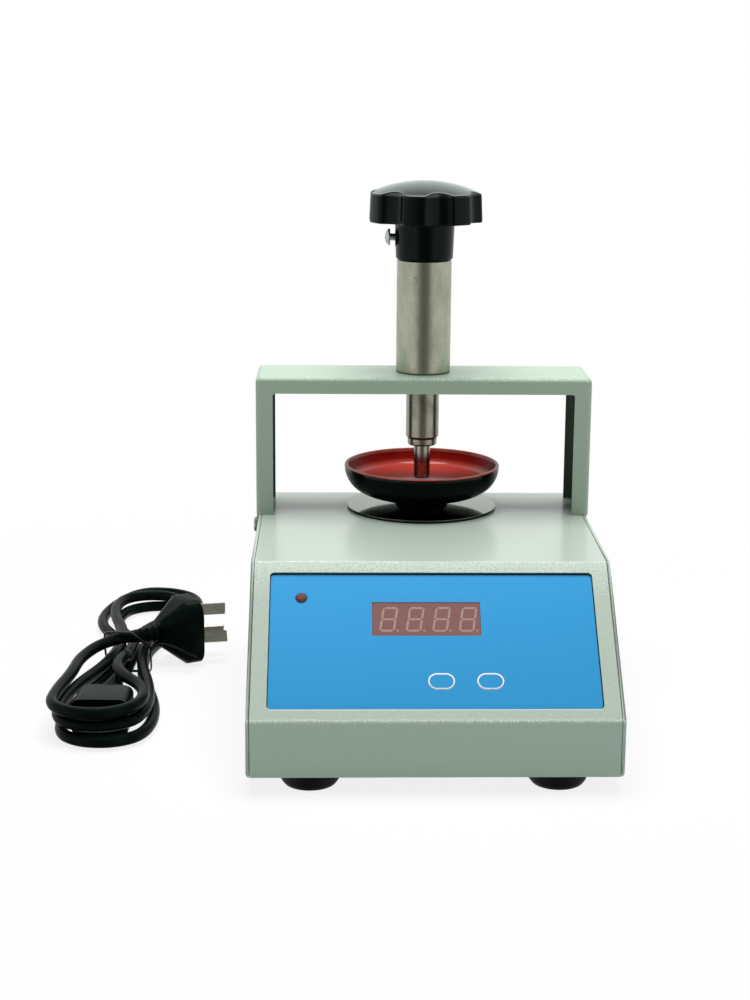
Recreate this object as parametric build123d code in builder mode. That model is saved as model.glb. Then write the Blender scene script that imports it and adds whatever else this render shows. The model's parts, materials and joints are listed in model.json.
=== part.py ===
"""Bench particle strength tester: a sloping instrument housing with a load disc and dish on top,
a channel-section gantry, and a hand-turned screw ram that presses the punch into the dish.

Millimetres. +X is the instrument's right seen from the front, +Y is its back, +Z is up.
The origin is on the bench, under the middle of the instrument without its loose mains lead.
"""

from build123d import *
from math import atan2, cos, dist, hypot, pi, radians, sin, tan
import os

os.makedirs("parts", exist_ok=True)

# Housing
HOUSE_W = 176.0  # outside the two side walls
HOUSE_D = 221.0  # front lip to the back edge of the top
COLUMN_IN = 187.0  # front lip to the column's axis
DISH_R = 42.2  # the dish's rim reaches furthest back
REAR_PROUD = 3.0  # how far the inlet and the switch stand out behind the housing
SHEET = 1.5  # steel sheet of housing and gantry
SEAM = 0.3  # gap between the cover and each side wall
BEND_R = 1.5  # outer radius of the cover's bends
FLOOR_BEND_R = 2.0  # outer radius of the chassis bends
STAND = 8.0  # bench to the underside of the housing
FLOOR_Z = STAND + SHEET  # inside of the chassis floor
LIP_TOP = 35.2  # top of the front lip
TOP_Z = 92.5  # flat top surface
SLOPE_D = 70.6  # depth of the sloping front in plan

FRONT_Y = -(COLUMN_IN + DISH_R) / 2
BACK_Y = FRONT_Y + HOUSE_D
SLOPE_H = TOP_Z - LIP_TOP
SLOPE_L = hypot(SLOPE_D, SLOPE_H)
SLOPE_ANGLE = atan2(SLOPE_H, SLOPE_D)
WALL_IN = HOUSE_W / 2 - SHEET  # inside face of a side wall
COVER_HALF = WALL_IN - SEAM
REAR_LIP = 12.0  # the cover's fold at the back
REAR_CLEAR = 0.2  # rear panel to the floor and to the cover
REAR_SCREW_R = 1.5
REAR_HEAD_R = 2.8
REAR_HEAD_T = 1.8
REAR_SCREW_L = 7.0
REAR_SCREW_X = 62.0
SIDE_SCREW_R = 2.5

# Front panel, measured up the slope from the lip's top edge
PANEL_W = 157.0
PANEL_H = 77.6
PANEL_MID = 45.6
PANEL_R = 2.3
PLATE_T = 1.2  # aluminium plate behind the opening
PLATE_LAP = 2.4  # how far the plate reaches behind the cover all round
FILM_T = 0.3
FILM_GAP = 0.3
DISPLAY_W = 52.2
DISPLAY_H = 19.4
DISPLAY_X = -3.1
DISPLAY_MID = 58.0
DISPLAY_DEEP = 8.0
DISPLAY_EDGE = 0.6
WINDOW_GAP = 0.1  # window to the face of the display block
DIGITS = 4
DIGIT_PITCH = 12.7
DIGIT_H = 14.2
DIGIT_W = 7.6
SEGMENT_W = 1.1
SEGMENT_GAP = 0.2
SEGMENT_T = 0.4
DIGIT_SLANT = 8.5  # degrees
DIGITS_X = 1.0  # the digits stand right of the window's middle
POINT_R = 0.68
POINT_OUT = 0.4  # decimal point's middle to the digit's side
LED_X = -63.2
LED_MID = 70.0
LED_R = 2.5
LED_GAP = 0.1
LED_FLANGE = 0.4
LED_FLANGE_T = 0.9
LED_BEHIND = 1.0  # how far the lamp reaches behind the plate
LED_PROUD = 1.3
LED_ROUND = 1.5
KEY_W = 12.9
KEY_H = 9.0
KEY_MID = 22.9
KEY_X = (3.1, 26.2)
KEY_TRAVEL = 0.5
KEY_GAP = 0.15
KEY_PROUD = 0.3
KEY_ROUND = 0.24
KEY_STEM_R = 1.7
KEY_STEM_IN = 1.2  # how far a key's stem stands in its switch
SWITCH_W = 6.2
SWITCH_H = 5.0
SWITCH_FLOOR = 1.4
BOARD_DEEP = 9.2  # panel plate to its circuit board
BOARD_T = 1.6
BOARD_W, BOARD_H, BOARD_MID = 150.0, 66.0, 44.0
BOARD_R = 2.0
BOARD_HOLE_R = 1.6
BOARD_POST_R = 3.0  # across the corners
BOARD_POST_X, BOARD_POST_Y = 71.0, 29.0

# Load column, all about one vertical axis
COLUMN_Y = FRONT_Y + COLUMN_IN
GANTRY_W = HOUSE_W + 2 * SHEET
GANTRY_D = 42.0
GANTRY_H = 75.0  # above the housing top
FLANGE = 9.0  # width of the channel's flanges, outside to edge
CORNER_R = 3.0
FLANGE_BEND_R = 2.5
TAB_W = 28.0  # the web's tongue that goes down each side wall
TAB_DROP = 18.0
TAB_R = 3.0
LEG_CLEAR = 0.1  # legs to the cover
SIDE_SCREW_DROP = 10.4
SIDE_HEAD_R = 4.15
SIDE_HEAD_T = 2.2
SIDE_HEAD_EDGE = 0.9
SIDE_SCREW_L = 10.0
SIDE_NUT_R = 4.6  # across the corners
SIDE_NUT_T = 4.0
GANTRY_TOP = TOP_Z + GANTRY_H

TUBE_R = 14.6
TUBE_H = 60.6
TUBE_BORE_R = 11.0
TUBE_EDGE = 0.6
SPIGOT_R = 13.0
SPIGOT_DROP = 8.6
RING_NUT_R = 17.5
RING_NUT_T = 6.0
RING_SLOTS = 4
RING_SLOT_W, RING_SLOT_DEEP = 4.0, 1.5
BUSH_H = 46.0
SPINDLE_R = 8.9
RUNNING = 0.05  # radial clearance of a running fit
SPINDLE_END = TOP_Z + 38.8  # lower end of the spindle
SPINDLE_CHAMFER = 2.2
SWIVEL_GAP = 0.3
COLLAR_R = 7.9
COLLAR_H = 3.7
COLLAR_CHAMFER = 0.8
NOSE_R = 5.0  # the spindle's nose, on which the collar turns
NOSE_IN = 2.2  # how far the nose stands in the collar
PUNCH_R = 4.45
PUNCH_END = TOP_Z + 16.4
PUNCH_CHAMFER = 0.5
SCREW_LEAD = 2.5  # rise of the ram for each turn of the knob
TRAVEL = 25.0

# Star knob
KNOB_LOBES = 7
KNOB_R = 30.2
LOBE_PROUD = 0.4  # how far the lobes' tips pass that radius before their edges are rounded
LOBE_ROUND = 2.5
HOLLOW_R = 10.5
KNOB_VALLEY = 3.4  # depth of the finger hollows
KNOB_FIRST = -90 - 12.9  # direction of the lobe nearest the front, in degrees from +X
KNOB_TAPER = 2.6  # degrees, wider at the bottom
KNOB_SKIRT = 14.6
KNOB_DOME = 7.0
SHOULDER_DROP = 3.0  # where the shoulder's arc starts below the skirt's top
SHOULDER_OUT = 2.0
SHOULDER_IN = 1.5
SHOULDER_RISE = 0.7
SHOULDER_R = 4.5
KNOB_EDGE = 0.8
HUB_TOP_R = 15.9
HUB_END_R = 14.9
HUB_H = 19.6
HUB_CLEAR = 0.2  # hub to tube when the ram is right down
KNOB_BORE_R = 7.0
KNOB_BORE_H = 27.0
KNOB_SCREW_R = 2.0
KNOB_SCREW_RISE = 11.3  # above the hub's end
KNOB_SCREW_HEAD_R = 4.7
KNOB_SCREW_HEAD_T = 3.0
KNOB_SCREW_SLOT = 1.0
KNOB_SCREW_SLOT_DEEP = 1.2
KNOB_SCREW_OUT = 18.4  # column axis to the underside of the screw head
KNOB_Z = GANTRY_TOP + TUBE_H + HUB_CLEAR

# Load disc and dish
DISC_R = 40.6
DISC_T = 1.0
DISC_EDGE = 0.2
DISC_GAP = 0.6  # the disc floats just clear of the cover
DISC_TOP = TOP_Z + DISC_GAP + DISC_T
DISH_RIM = TOP_Z + 24.3
DISH_FLOOR = TOP_Z + 15.3
DISH_WALL = 2.0
DISH_SOLE = TOP_Z + 5.6
FOOT_RING_R = 14.4
FOOT_RING_IN_R = 11.4
FOOT_RING_FLARE = 0.6
DISH_WELL = 4.0  # hollow under the dish, above its sole
BELLY_R, BELLY_RISE = 26.0, 0.6  # where the outside leaves the sole
BULGE_IN, BULGE_RISE = 0.7, 2.4  # where it turns up to the rim
LIP_DROP = 1.0
INSIDE_LEAN, INSIDE_RISE = 2.5, 1.2
HEEL_R, HEEL_RISE = 33.0, 0.4
FLAT_R, FLAT_RISE = 25.0, 0.2

# Load cell and its mounting under the disc
CELL_W = 24.0
CELL_H = 22.0
CELL_L = 110.0
CELL_Z = FLOOR_Z + 10.0
CELL_FIXED = 34.0  # length of the beam that is bolted down
CELL_PAST = 14.0  # how far the beam reaches behind the column's axis
CELL_BORE_R = 8.0
CELL_BORES = 20.0  # between the two bores that thin the beam
CELL_SLOT = 6.0
CELL_SLOT_BACK = 3.0  # bores' middle behind the beam's middle
CELL_BOLT_R = 3.0
CELL_BOLT_HEAD_R = 5.0
CELL_BOLT_HEAD_T = 6.0
CELL_BOLT_KEY_R, CELL_BOLT_KEY_DEEP = 2.9, 3.0
CELL_BOLT_Y = 8.0
BLOCK_SIDE = 8.0  # how far the block stands out past the beam
POST_R = 7.0
POST_STUD_R = 4.0
POST_STUD_UP = 2.0
POST_COLLAR_R = 9.0
POST_COLLAR_T = 6.0
POST_COLLAR_FALL = 2.0
POST_HOLE_R = 9.0

# Rubber feet
FOOT_R = 14.6
FOOT_X = 58.4
FOOT_INSET = 15.5
FOOT_TAPER = 0.8
FOOT_TOP_EDGE = 0.8
FOOT_CHAMFER = 2.4
FOOT_RECESS_R = 4.0
FOOT_WEB = 3.5  # rubber between the screw's head and the floor
FOOT_SCREW_R = 2.0
FOOT_HEAD_R = 3.8
FOOT_HEAD_T = 2.2
FOOT_HEAD_EDGE = 0.5
FOOT_SCREW_PAST = 4.0  # how far the screw stands up inside

# Transformer and main board on the chassis floor
TRANSFORMER = (-54.0, 41.4)
CORE_W, CORE_D, CORE_H = 41.0, 24.0, 35.0
CORE_WINDOW_W, CORE_WINDOW_H, CORE_WINDOW_X = 7.0, 21.0, 10.3
COIL_W, COIL_D, COIL_H, COIL_R = 27.4, 37.6, 21.0, 4.0
COIL_IN_W = 13.6
MAIN_BOARD = (52.0, 5.4)
MAIN_BOARD_W, MAIN_BOARD_L, MAIN_BOARD_UP = 60.0, 88.0, 6.0
MAIN_BOARD_EDGE = 8.0  # both edges to the stand-offs, together
CHIP_H, CAPACITOR_H, TERMINAL_H = 3.6, 16.0, 11.0
CAPACITOR_R = 5.0

# Rear fittings
INLET_X = 46.0
INLET_Z = 42.0
INLET_W = 27.0
INLET_H = 33.0
SOCKET_W = 24.4
SOCKET_H = 16.4
SOCKET_DEEP = 17.0
SOCKET_MID = 6.0
SOCKET_CORNER = 4.5
INLET_RIM = 1.7
INLET_R = 2.0
INLET_EDGE = 0.8
INLET_DEEP = 24.0
PIN_W, PIN_H, PIN_X, PIN_Y = 2.0, 4.0, 7.0, 2.0
PIN_IN = 3.0  # pin tips behind the inlet's face
DRAWER_MID = -10.2
DRAWER_W, DRAWER_H, DRAWER_L = 15.0, 6.4, 24.0
DRAWER_GAP = 0.15
DRAWER_FRONT, DRAWER_BACK, DRAWER_WALL, DRAWER_FLOOR = 4.0, 1.0, 1.5, 0.9
GRIP_W, GRIP_H, GRIP_DEEP = 6.0, 1.6, 1.6
FUSE_R, FUSE_L, FUSE_X = 2.5, 17.5, 2.6
FUSE_IN = 5.0
ROCKER_X = -46.0
ROCKER_Z = 42.0
ROCKER_W = 19.0
ROCKER_H = 13.0
ROCKER_SWING = 22.0  # degrees from off to on
ROCKER_HALF = 7.6
ROCKER_THICK = 9.6
ROCKER_PIVOT_Y = BACK_Y - 3.0
PIVOT_R = 1.2
BEZEL_RIM, BEZEL_T, BEZEL_R = 1.2, 1.5, 1.5
SWITCH_DEEP, SWITCH_BACK = 14.0, 1.0
SWITCH_GAP = 0.3

# Mains lead, tied as a hank
CORD_D = 6.2
HANK_X = -160.0
HANK_Y = 79.4
HANK_TURN = -2.0  # degrees
STRAND = 7.2  # spacing of the strands at the waist
LAYER_Z = (4.0, 10.75, 17.5)
SOCKET_AXIS_Z = 10.2
PLUG_AXIS_Z = 18.6
PLUG_TURN = 30.0  # degrees, the plug's blades point right and a little back
RELIEF_R = 3.3  # a strain relief's radius where the cord leaves it
RELIEF_RIBS = 7
PLUG_RELIEF_RIBS = 4
RIB_GAP = 1.2
RELIEF_L = 28.0
RELIEF_END = -62.0  # where the cord leaves the appliance connector's relief
CONNECTOR_W = 28.0
CONNECTOR_H = 20.0
CONNECTOR_L = 30.0
CONNECTOR_NECK = 8.0
CONNECTOR_R = 4.0
CONTACT_W, CONTACT_H, CONTACT_DEEP = 2.6, 4.6, 14.0
PLUG_RELIEF_L = 16.0
PLUG_L = 22.0
PLUG_RIM = 8.0  # straight part of the plug behind its face
PLUG_W = 30.0
PLUG_H = 36.0
PLUG_R = 9.0
PLUG_NECK_W, PLUG_NECK_H = 12.0, 14.0
PLUG_NECK_R = 4.0
BLADE_W, BLADE_H, BLADE_L, BLADE_IN = 1.6, 6.35, 18.0, 6.0
BLADE_EDGE = 0.4
EARTH_DROP = 10.31
LIVE_X, LIVE_Y, LIVE_LEAN = 6.86, 3.96, 30.0
PIN_ROLL = -17.0  # degrees, how far the plug leans over
TIE_Y = -14.75
TIE_T = 0.7
TIE_W = 2.5
TIE_R = 1.5

# Planes that several pieces share. The slope's own plane has its origin on the lip's top edge,
# its y axis up the slope and its z axis square out of the panel.
slope = Plane(
    origin=(0, FRONT_Y, LIP_TOP),
    x_dir=(1, 0, 0),
    z_dir=(0, -sin(SLOPE_ANGLE), cos(SLOPE_ANGLE)),
)
plate_face = slope.offset(-SHEET)
film_face = slope.offset(-SHEET + FILM_T)
board_face = slope.offset(-SHEET - PLATE_T - BOARD_DEEP)
column = Plane(origin=(0, COLUMN_Y, 0))
column_section = Plane(origin=(0, COLUMN_Y, 0), x_dir=(1, 0, 0), z_dir=(0, -1, 0))
rear = Plane(origin=(0, BACK_Y, 0), x_dir=(-1, 0, 0), z_dir=(0, 1, 0))


def finish(piece, label):
    """Name a piece and write it out."""
    piece.part.label = label
    export_step(piece.part, f"parts/{label}.step")


def side_outline():
    """The housing's side view, front to the left, with its bends rounded, carried down to the bench."""
    points = [
        (FRONT_Y, 0),
        (FRONT_Y, LIP_TOP),
        (FRONT_Y + SLOPE_D, TOP_Z),
        (BACK_Y, TOP_Z),
        (BACK_Y, 0),
    ]
    FilletPolyline(*points, radius=BEND_R, close=True)


# Chassis: floor and both side walls bent from one sheet
with BuildPart() as chassis:
    with BuildSketch(Plane.XZ.offset(-FRONT_Y)):
        with BuildLine():
            FilletPolyline(
                (-HOUSE_W / 2, TOP_Z), (-HOUSE_W / 2, STAND), (HOUSE_W / 2, STAND), (HOUSE_W / 2, TOP_Z),
                radius=FLOOR_BEND_R,
            )
            Line((HOUSE_W / 2, TOP_Z), (-HOUSE_W / 2, TOP_Z))
        make_face()
        with BuildLine(mode=Mode.PRIVATE) as inside:
            FilletPolyline(
                (-WALL_IN, TOP_Z), (-WALL_IN, STAND + SHEET), (WALL_IN, STAND + SHEET), (WALL_IN, TOP_Z),
                radius=FLOOR_BEND_R - SHEET,
            )
            Line((WALL_IN, TOP_Z), (-WALL_IN, TOP_Z))
        make_face(inside.line, mode=Mode.SUBTRACT)
    extrude(amount=-HOUSE_D)
    with BuildSketch(Plane.YZ.offset(-HOUSE_W / 2)):
        with BuildLine():
            side_outline()
        make_face()
    extrude(amount=HOUSE_W, mode=Mode.INTERSECT)
    with BuildSketch(Plane.XY.offset(STAND)):
        with Locations((0, FRONT_Y)):
            Rectangle(2 * WALL_IN, SHEET + SEAM, align=(Align.CENTER, Align.MIN))
    extrude(amount=SHEET, mode=Mode.SUBTRACT)
    with BuildSketch(Plane.XY.offset(STAND)):
        with Locations(*[(x, y) for x in (-FOOT_X, FOOT_X)
                         for y in (FRONT_Y + FOOT_INSET, BACK_Y - FOOT_INSET)]):
            Circle(FOOT_SCREW_R)
    extrude(amount=SHEET, mode=Mode.SUBTRACT)
    with BuildSketch(Plane.YZ.offset(-HOUSE_W / 2)):
        with Locations((COLUMN_Y, TOP_Z - SIDE_SCREW_DROP)):
            Circle(SIDE_SCREW_R)
    extrude(amount=HOUSE_W, mode=Mode.SUBTRACT)
finish(chassis, "chassis")

# Top cover: front lip, slope, top and rear fold in one bent sheet
REAR_SCREWS = [(x, TOP_Z - SHEET / 2 - REAR_LIP / 2) for x in (-REAR_SCREW_X, 0, REAR_SCREW_X)]
with BuildPart() as top_cover:
    with BuildSketch(Plane.YZ.offset(-COVER_HALF)):
        with BuildLine():
            side_outline()
        make_face()
        offset(amount=-SHEET, mode=Mode.SUBTRACT)
        with Locations((FRONT_Y, 0)):
            Rectangle(HOUSE_D, STAND, align=(Align.MIN, Align.MIN), mode=Mode.SUBTRACT)
        with Locations((BACK_Y - SHEET, 0)):
            Rectangle(SHEET, TOP_Z - REAR_LIP, align=(Align.MIN, Align.MIN), mode=Mode.SUBTRACT)
    extrude(amount=2 * COVER_HALF)
    with BuildSketch(slope):
        with Locations((0, PANEL_MID)):
            RectangleRounded(PANEL_W, PANEL_H, PANEL_R)
    extrude(amount=-SHEET, mode=Mode.SUBTRACT)
    with BuildSketch(Plane.XY.offset(TOP_Z)):
        with Locations((0, COLUMN_Y)):
            Circle(POST_HOLE_R)
    extrude(amount=-SHEET, mode=Mode.SUBTRACT)
    with BuildSketch(rear):
        with Locations(*REAR_SCREWS):
            Circle(REAR_SCREW_R)
    extrude(amount=-SHEET, mode=Mode.SUBTRACT)
finish(top_cover, "top_cover")

# Rear panel inside the cover's fold, with the openings for the inlet and the switch
PANEL_BACK = rear.offset(-SHEET)
with BuildPart() as rear_panel:
    with BuildSketch(PANEL_BACK):
        with Locations((0, FLOOR_Z + REAR_CLEAR)):
            Rectangle(2 * COVER_HALF, TOP_Z - SHEET - FLOOR_Z - 2 * REAR_CLEAR,
                      align=(Align.CENTER, Align.MIN))
        with Locations((-INLET_X, INLET_Z)):
            Rectangle(INLET_W, INLET_H, mode=Mode.SUBTRACT)
        with Locations((-ROCKER_X, ROCKER_Z)):
            Rectangle(ROCKER_W, ROCKER_H, mode=Mode.SUBTRACT)
        with Locations(*REAR_SCREWS):
            Circle(REAR_SCREW_R, mode=Mode.SUBTRACT)
    extrude(amount=-SHEET)
finish(rear_panel, "rear_panel")

with BuildPart() as rear_screws:
    with BuildSketch(rear):
        with Locations(*REAR_SCREWS):
            Circle(REAR_HEAD_R)
    extrude(amount=REAR_HEAD_T)
    chamfer(rear_screws.faces().group_by(Axis.Y)[-1].edges(), REAR_HEAD_T / 2)
    with BuildSketch(rear):
        with Locations(*REAR_SCREWS):
            Circle(REAR_SCREW_R)
    extrude(amount=-REAR_SCREW_L)
finish(rear_screws, "rear_screws")

# Panel plate behind the opening of the cover
with BuildPart() as panel_plate:
    with BuildSketch(plate_face):
        with Locations((0, PANEL_MID)):
            RectangleRounded(PANEL_W + 2 * PLATE_LAP, PANEL_H + 2 * PLATE_LAP, PANEL_R)
        with Locations((DISPLAY_X, DISPLAY_MID)):
            Rectangle(DISPLAY_W, DISPLAY_H, mode=Mode.SUBTRACT)
        with Locations(*[(x, KEY_MID) for x in KEY_X]):
            SlotOverall(KEY_W + 2 * KEY_GAP, KEY_H + 2 * KEY_GAP, mode=Mode.SUBTRACT)
        with Locations((LED_X, LED_MID)):
            Circle(LED_R + LED_GAP, mode=Mode.SUBTRACT)
    extrude(amount=-PLATE_T)
finish(panel_plate, "panel_plate")

with BuildPart() as panel_film:
    with BuildSketch(plate_face):
        with Locations((0, PANEL_MID)):
            RectangleRounded(PANEL_W - 2 * FILM_GAP, PANEL_H - 2 * FILM_GAP, PANEL_R)
        with Locations((DISPLAY_X, DISPLAY_MID)):
            Rectangle(DISPLAY_W, DISPLAY_H, mode=Mode.SUBTRACT)
        with Locations(*[(x, KEY_MID) for x in KEY_X]):
            SlotOverall(KEY_W + 2 * KEY_GAP, KEY_H + 2 * KEY_GAP, mode=Mode.SUBTRACT)
        with Locations((LED_X, LED_MID)):
            Circle(LED_R + LED_GAP, mode=Mode.SUBTRACT)
    extrude(amount=FILM_T)
finish(panel_film, "panel_film")

with BuildPart() as display_window:
    with BuildSketch(plate_face):
        with Locations((DISPLAY_X, DISPLAY_MID)):
            Rectangle(DISPLAY_W, DISPLAY_H)
    extrude(amount=FILM_T)
finish(display_window, "display_window")

# Display block under the window, with its digits set into the face
digits_face = plate_face.offset(-WINDOW_GAP)
with BuildPart() as display_module:
    with BuildSketch(digits_face):
        with Locations((DISPLAY_X, DISPLAY_MID)):
            Rectangle(DISPLAY_W - 4 * WINDOW_GAP, DISPLAY_H - 4 * WINDOW_GAP)
    extrude(amount=-DISPLAY_DEEP)
    block_back = display_module.faces().group_by(Axis(digits_face.origin, digits_face.z_dir))[0]
    chamfer(block_back.edges(), DISPLAY_EDGE)


def digit_place(i):
    """The middle of digit i in the panel's plane."""
    return DISPLAY_X + DIGITS_X + (i - (DIGITS - 1) / 2) * DIGIT_PITCH


def slanted(x, y):
    """A point of an upright digit, leaned over by the digits' slant."""
    return (x + y * tan(radians(DIGIT_SLANT)), y)


def segment_bars():
    """The seven bars of a digit as (ends of the bar's middle line)."""
    w = (DIGIT_W - SEGMENT_W) / 2
    h = (DIGIT_H - SEGMENT_W) / 2
    across = [((-w, y), (w, y)) for y in (-h, 0, h)]
    upright = [((x, y), (x, y + h)) for x in (-w, w) for y in (-h, 0)]
    return across + upright


def bar_outline(start, end):
    """A six-cornered bar with pointed ends, on the line between two corners of the digit."""
    (x0, y0), (x1, y1) = start, end
    long = hypot(x1 - x0, y1 - y0)
    ux, uy = (x1 - x0) / long, (y1 - y0) / long
    half = SEGMENT_W / 2
    near, far = SEGMENT_GAP, long - SEGMENT_GAP
    stations = [(near, 0), (near + half, half), (far - half, half),
                (far, 0), (far - half, -half), (near + half, -half)]
    return [slanted(x0 + a * ux - b * uy, y0 + a * uy + b * ux) for a, b in stations]


with BuildPart() as display_segments:
    for i in range(DIGITS):
        centre = (digit_place(i), DISPLAY_MID)
        with BuildSketch(digits_face):
            with Locations(centre):
                for start, end in segment_bars():
                    Polygon(*bar_outline(start, end), align=None)
            with Locations((centre[0] + DIGIT_W / 2 + POINT_OUT, centre[1] - DIGIT_H / 2 + SEGMENT_W / 2)):
                Circle(POINT_R)
        extrude(amount=-SEGMENT_T)
with BuildPart() as display_face_cut:
    add(display_module.part)
    add(display_segments.part, mode=Mode.SUBTRACT)
display_module = display_face_cut
finish(display_module, "display_module")
finish(display_segments, "display_segments")

with BuildPart() as indicator_led:
    led_back = plate_face.offset(-PLATE_T - LED_BEHIND)
    with BuildSketch(led_back):
        with Locations((LED_X, LED_MID)):
            Circle(LED_R + LED_FLANGE)
    extrude(amount=LED_FLANGE_T)
    with BuildSketch(led_back):
        with Locations((LED_X, LED_MID)):
            Circle(LED_R)
    extrude(amount=LED_BEHIND + PLATE_T + FILM_T + LED_PROUD)
    fillet(indicator_led.faces().group_by(Axis(slope.origin, slope.z_dir))[-1].edges(), LED_ROUND)
finish(indicator_led, "indicator_led")

# Keys: a pad in the film with a stem that works the switch below
for name, key_x in (("peak_key", KEY_X[0]), ("zero_key", KEY_X[1])):
    with BuildPart() as key:
        with BuildSketch(plate_face.offset(-PLATE_T + KEY_GAP)):
            with Locations((key_x, KEY_MID)):
                SlotOverall(KEY_W, KEY_H)
        extrude(amount=PLATE_T - KEY_GAP + FILM_T + KEY_PROUD)
        fillet(key.faces().group_by(Axis(slope.origin, slope.z_dir))[-1].edges(), KEY_ROUND)
        with BuildSketch(plate_face.offset(-PLATE_T + KEY_GAP)):
            with Locations((key_x, KEY_MID)):
                Circle(KEY_STEM_R)
        extrude(amount=-(BOARD_DEEP - SWITCH_H + KEY_GAP + KEY_STEM_IN))
    finish(key, name)

with BuildPart() as key_switches:
    with BuildSketch(board_face):
        with Locations(*[(x, KEY_MID) for x in KEY_X]):
            Rectangle(SWITCH_W, SWITCH_W)
    extrude(amount=SWITCH_H)
    with BuildSketch(board_face.offset(SWITCH_H)):
        with Locations(*[(x, KEY_MID) for x in KEY_X]):
            Circle(KEY_STEM_R + KEY_GAP)
    extrude(amount=-(SWITCH_H - SWITCH_FLOOR), mode=Mode.SUBTRACT)
finish(key_switches, "key_switches")

BOARD_POSTS = [(x, BOARD_MID + y) for x in (-BOARD_POST_X, BOARD_POST_X)
               for y in (-BOARD_POST_Y, BOARD_POST_Y)]
with BuildPart() as display_board:
    with BuildSketch(board_face):
        with Locations((0, BOARD_MID)):
            RectangleRounded(BOARD_W, BOARD_H, BOARD_R)
        with Locations(*BOARD_POSTS):
            Circle(BOARD_HOLE_R, mode=Mode.SUBTRACT)
    extrude(amount=-BOARD_T)
finish(display_board, "display_board")

with BuildPart() as board_posts:
    with BuildSketch(board_face):
        with Locations(*BOARD_POSTS):
            RegularPolygon(BOARD_POST_R, 6)
    extrude(amount=BOARD_DEEP)
finish(board_posts, "board_posts")

# Feet under the chassis, each with its screw
FOOT_PLACES = {
    "foot_front_left": (-FOOT_X, FRONT_Y + FOOT_INSET),
    "foot_front_right": (FOOT_X, FRONT_Y + FOOT_INSET),
    "foot_rear_left": (-FOOT_X, BACK_Y - FOOT_INSET),
    "foot_rear_right": (FOOT_X, BACK_Y - FOOT_INSET),
}
for name, place in FOOT_PLACES.items():
    with BuildPart() as foot:
        with BuildSketch(Plane(origin=(*place, 0), x_dir=(1, 0, 0), z_dir=(0, -1, 0))):
            with BuildLine():
                Polyline(
                    (0, STAND), (FOOT_R - FOOT_TOP_EDGE, STAND), (FOOT_R, STAND - FOOT_TOP_EDGE),
                    (FOOT_R - FOOT_TAPER, FOOT_CHAMFER), (FOOT_R - FOOT_TAPER - FOOT_CHAMFER, 0), (0, 0),
                    close=True,
                )
            make_face()
        revolve(axis=Axis((*place, 0), (0, 0, 1)))
        with BuildSketch(Plane(origin=(*place, 0))):
            Circle(FOOT_RECESS_R)
        extrude(amount=STAND - FOOT_WEB, mode=Mode.SUBTRACT)
        with BuildSketch(Plane(origin=(*place, 0))):
            Circle(FOOT_SCREW_R)
        extrude(amount=STAND, mode=Mode.SUBTRACT)
    finish(foot, name)

with BuildPart() as foot_screws:
    with BuildSketch(Plane.XY.offset(STAND - FOOT_WEB)):
        with Locations(*FOOT_PLACES.values()):
            Circle(FOOT_HEAD_R)
    extrude(amount=-FOOT_HEAD_T)
    chamfer(foot_screws.faces().group_by(Axis.Z)[0].edges(), FOOT_HEAD_EDGE)
    with BuildSketch(Plane.XY.offset(STAND - FOOT_WEB)):
        with Locations(*FOOT_PLACES.values()):
            Circle(FOOT_SCREW_R)
    extrude(amount=FOOT_WEB + SHEET + FOOT_SCREW_PAST)
finish(foot_screws, "foot_screws")

# Gantry: an upside-down U of channel section, its web outside and its flanges turned inwards
GANTRY_FRONT = COLUMN_Y - GANTRY_D / 2
LEG_FOOT = TOP_Z + LEG_CLEAR
front_of_gantry = Plane(origin=(0, GANTRY_FRONT, 0), x_dir=(1, 0, 0), z_dir=(0, -1, 0))


def gantry_outer():
    """Outside of the U, down to the legs' feet."""
    with Locations((0, LEG_FOOT)):
        Rectangle(GANTRY_W, GANTRY_TOP - LEG_FOOT, align=(Align.CENTER, Align.MIN))


def gantry_inner(edge, mode=Mode.SUBTRACT):
    """Inside of the U, that far in from its outside."""
    with Locations((0, LEG_FOOT)):
        Rectangle(GANTRY_W - 2 * edge, GANTRY_TOP - edge - LEG_FOOT,
                  align=(Align.CENTER, Align.MIN), mode=mode)


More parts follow.
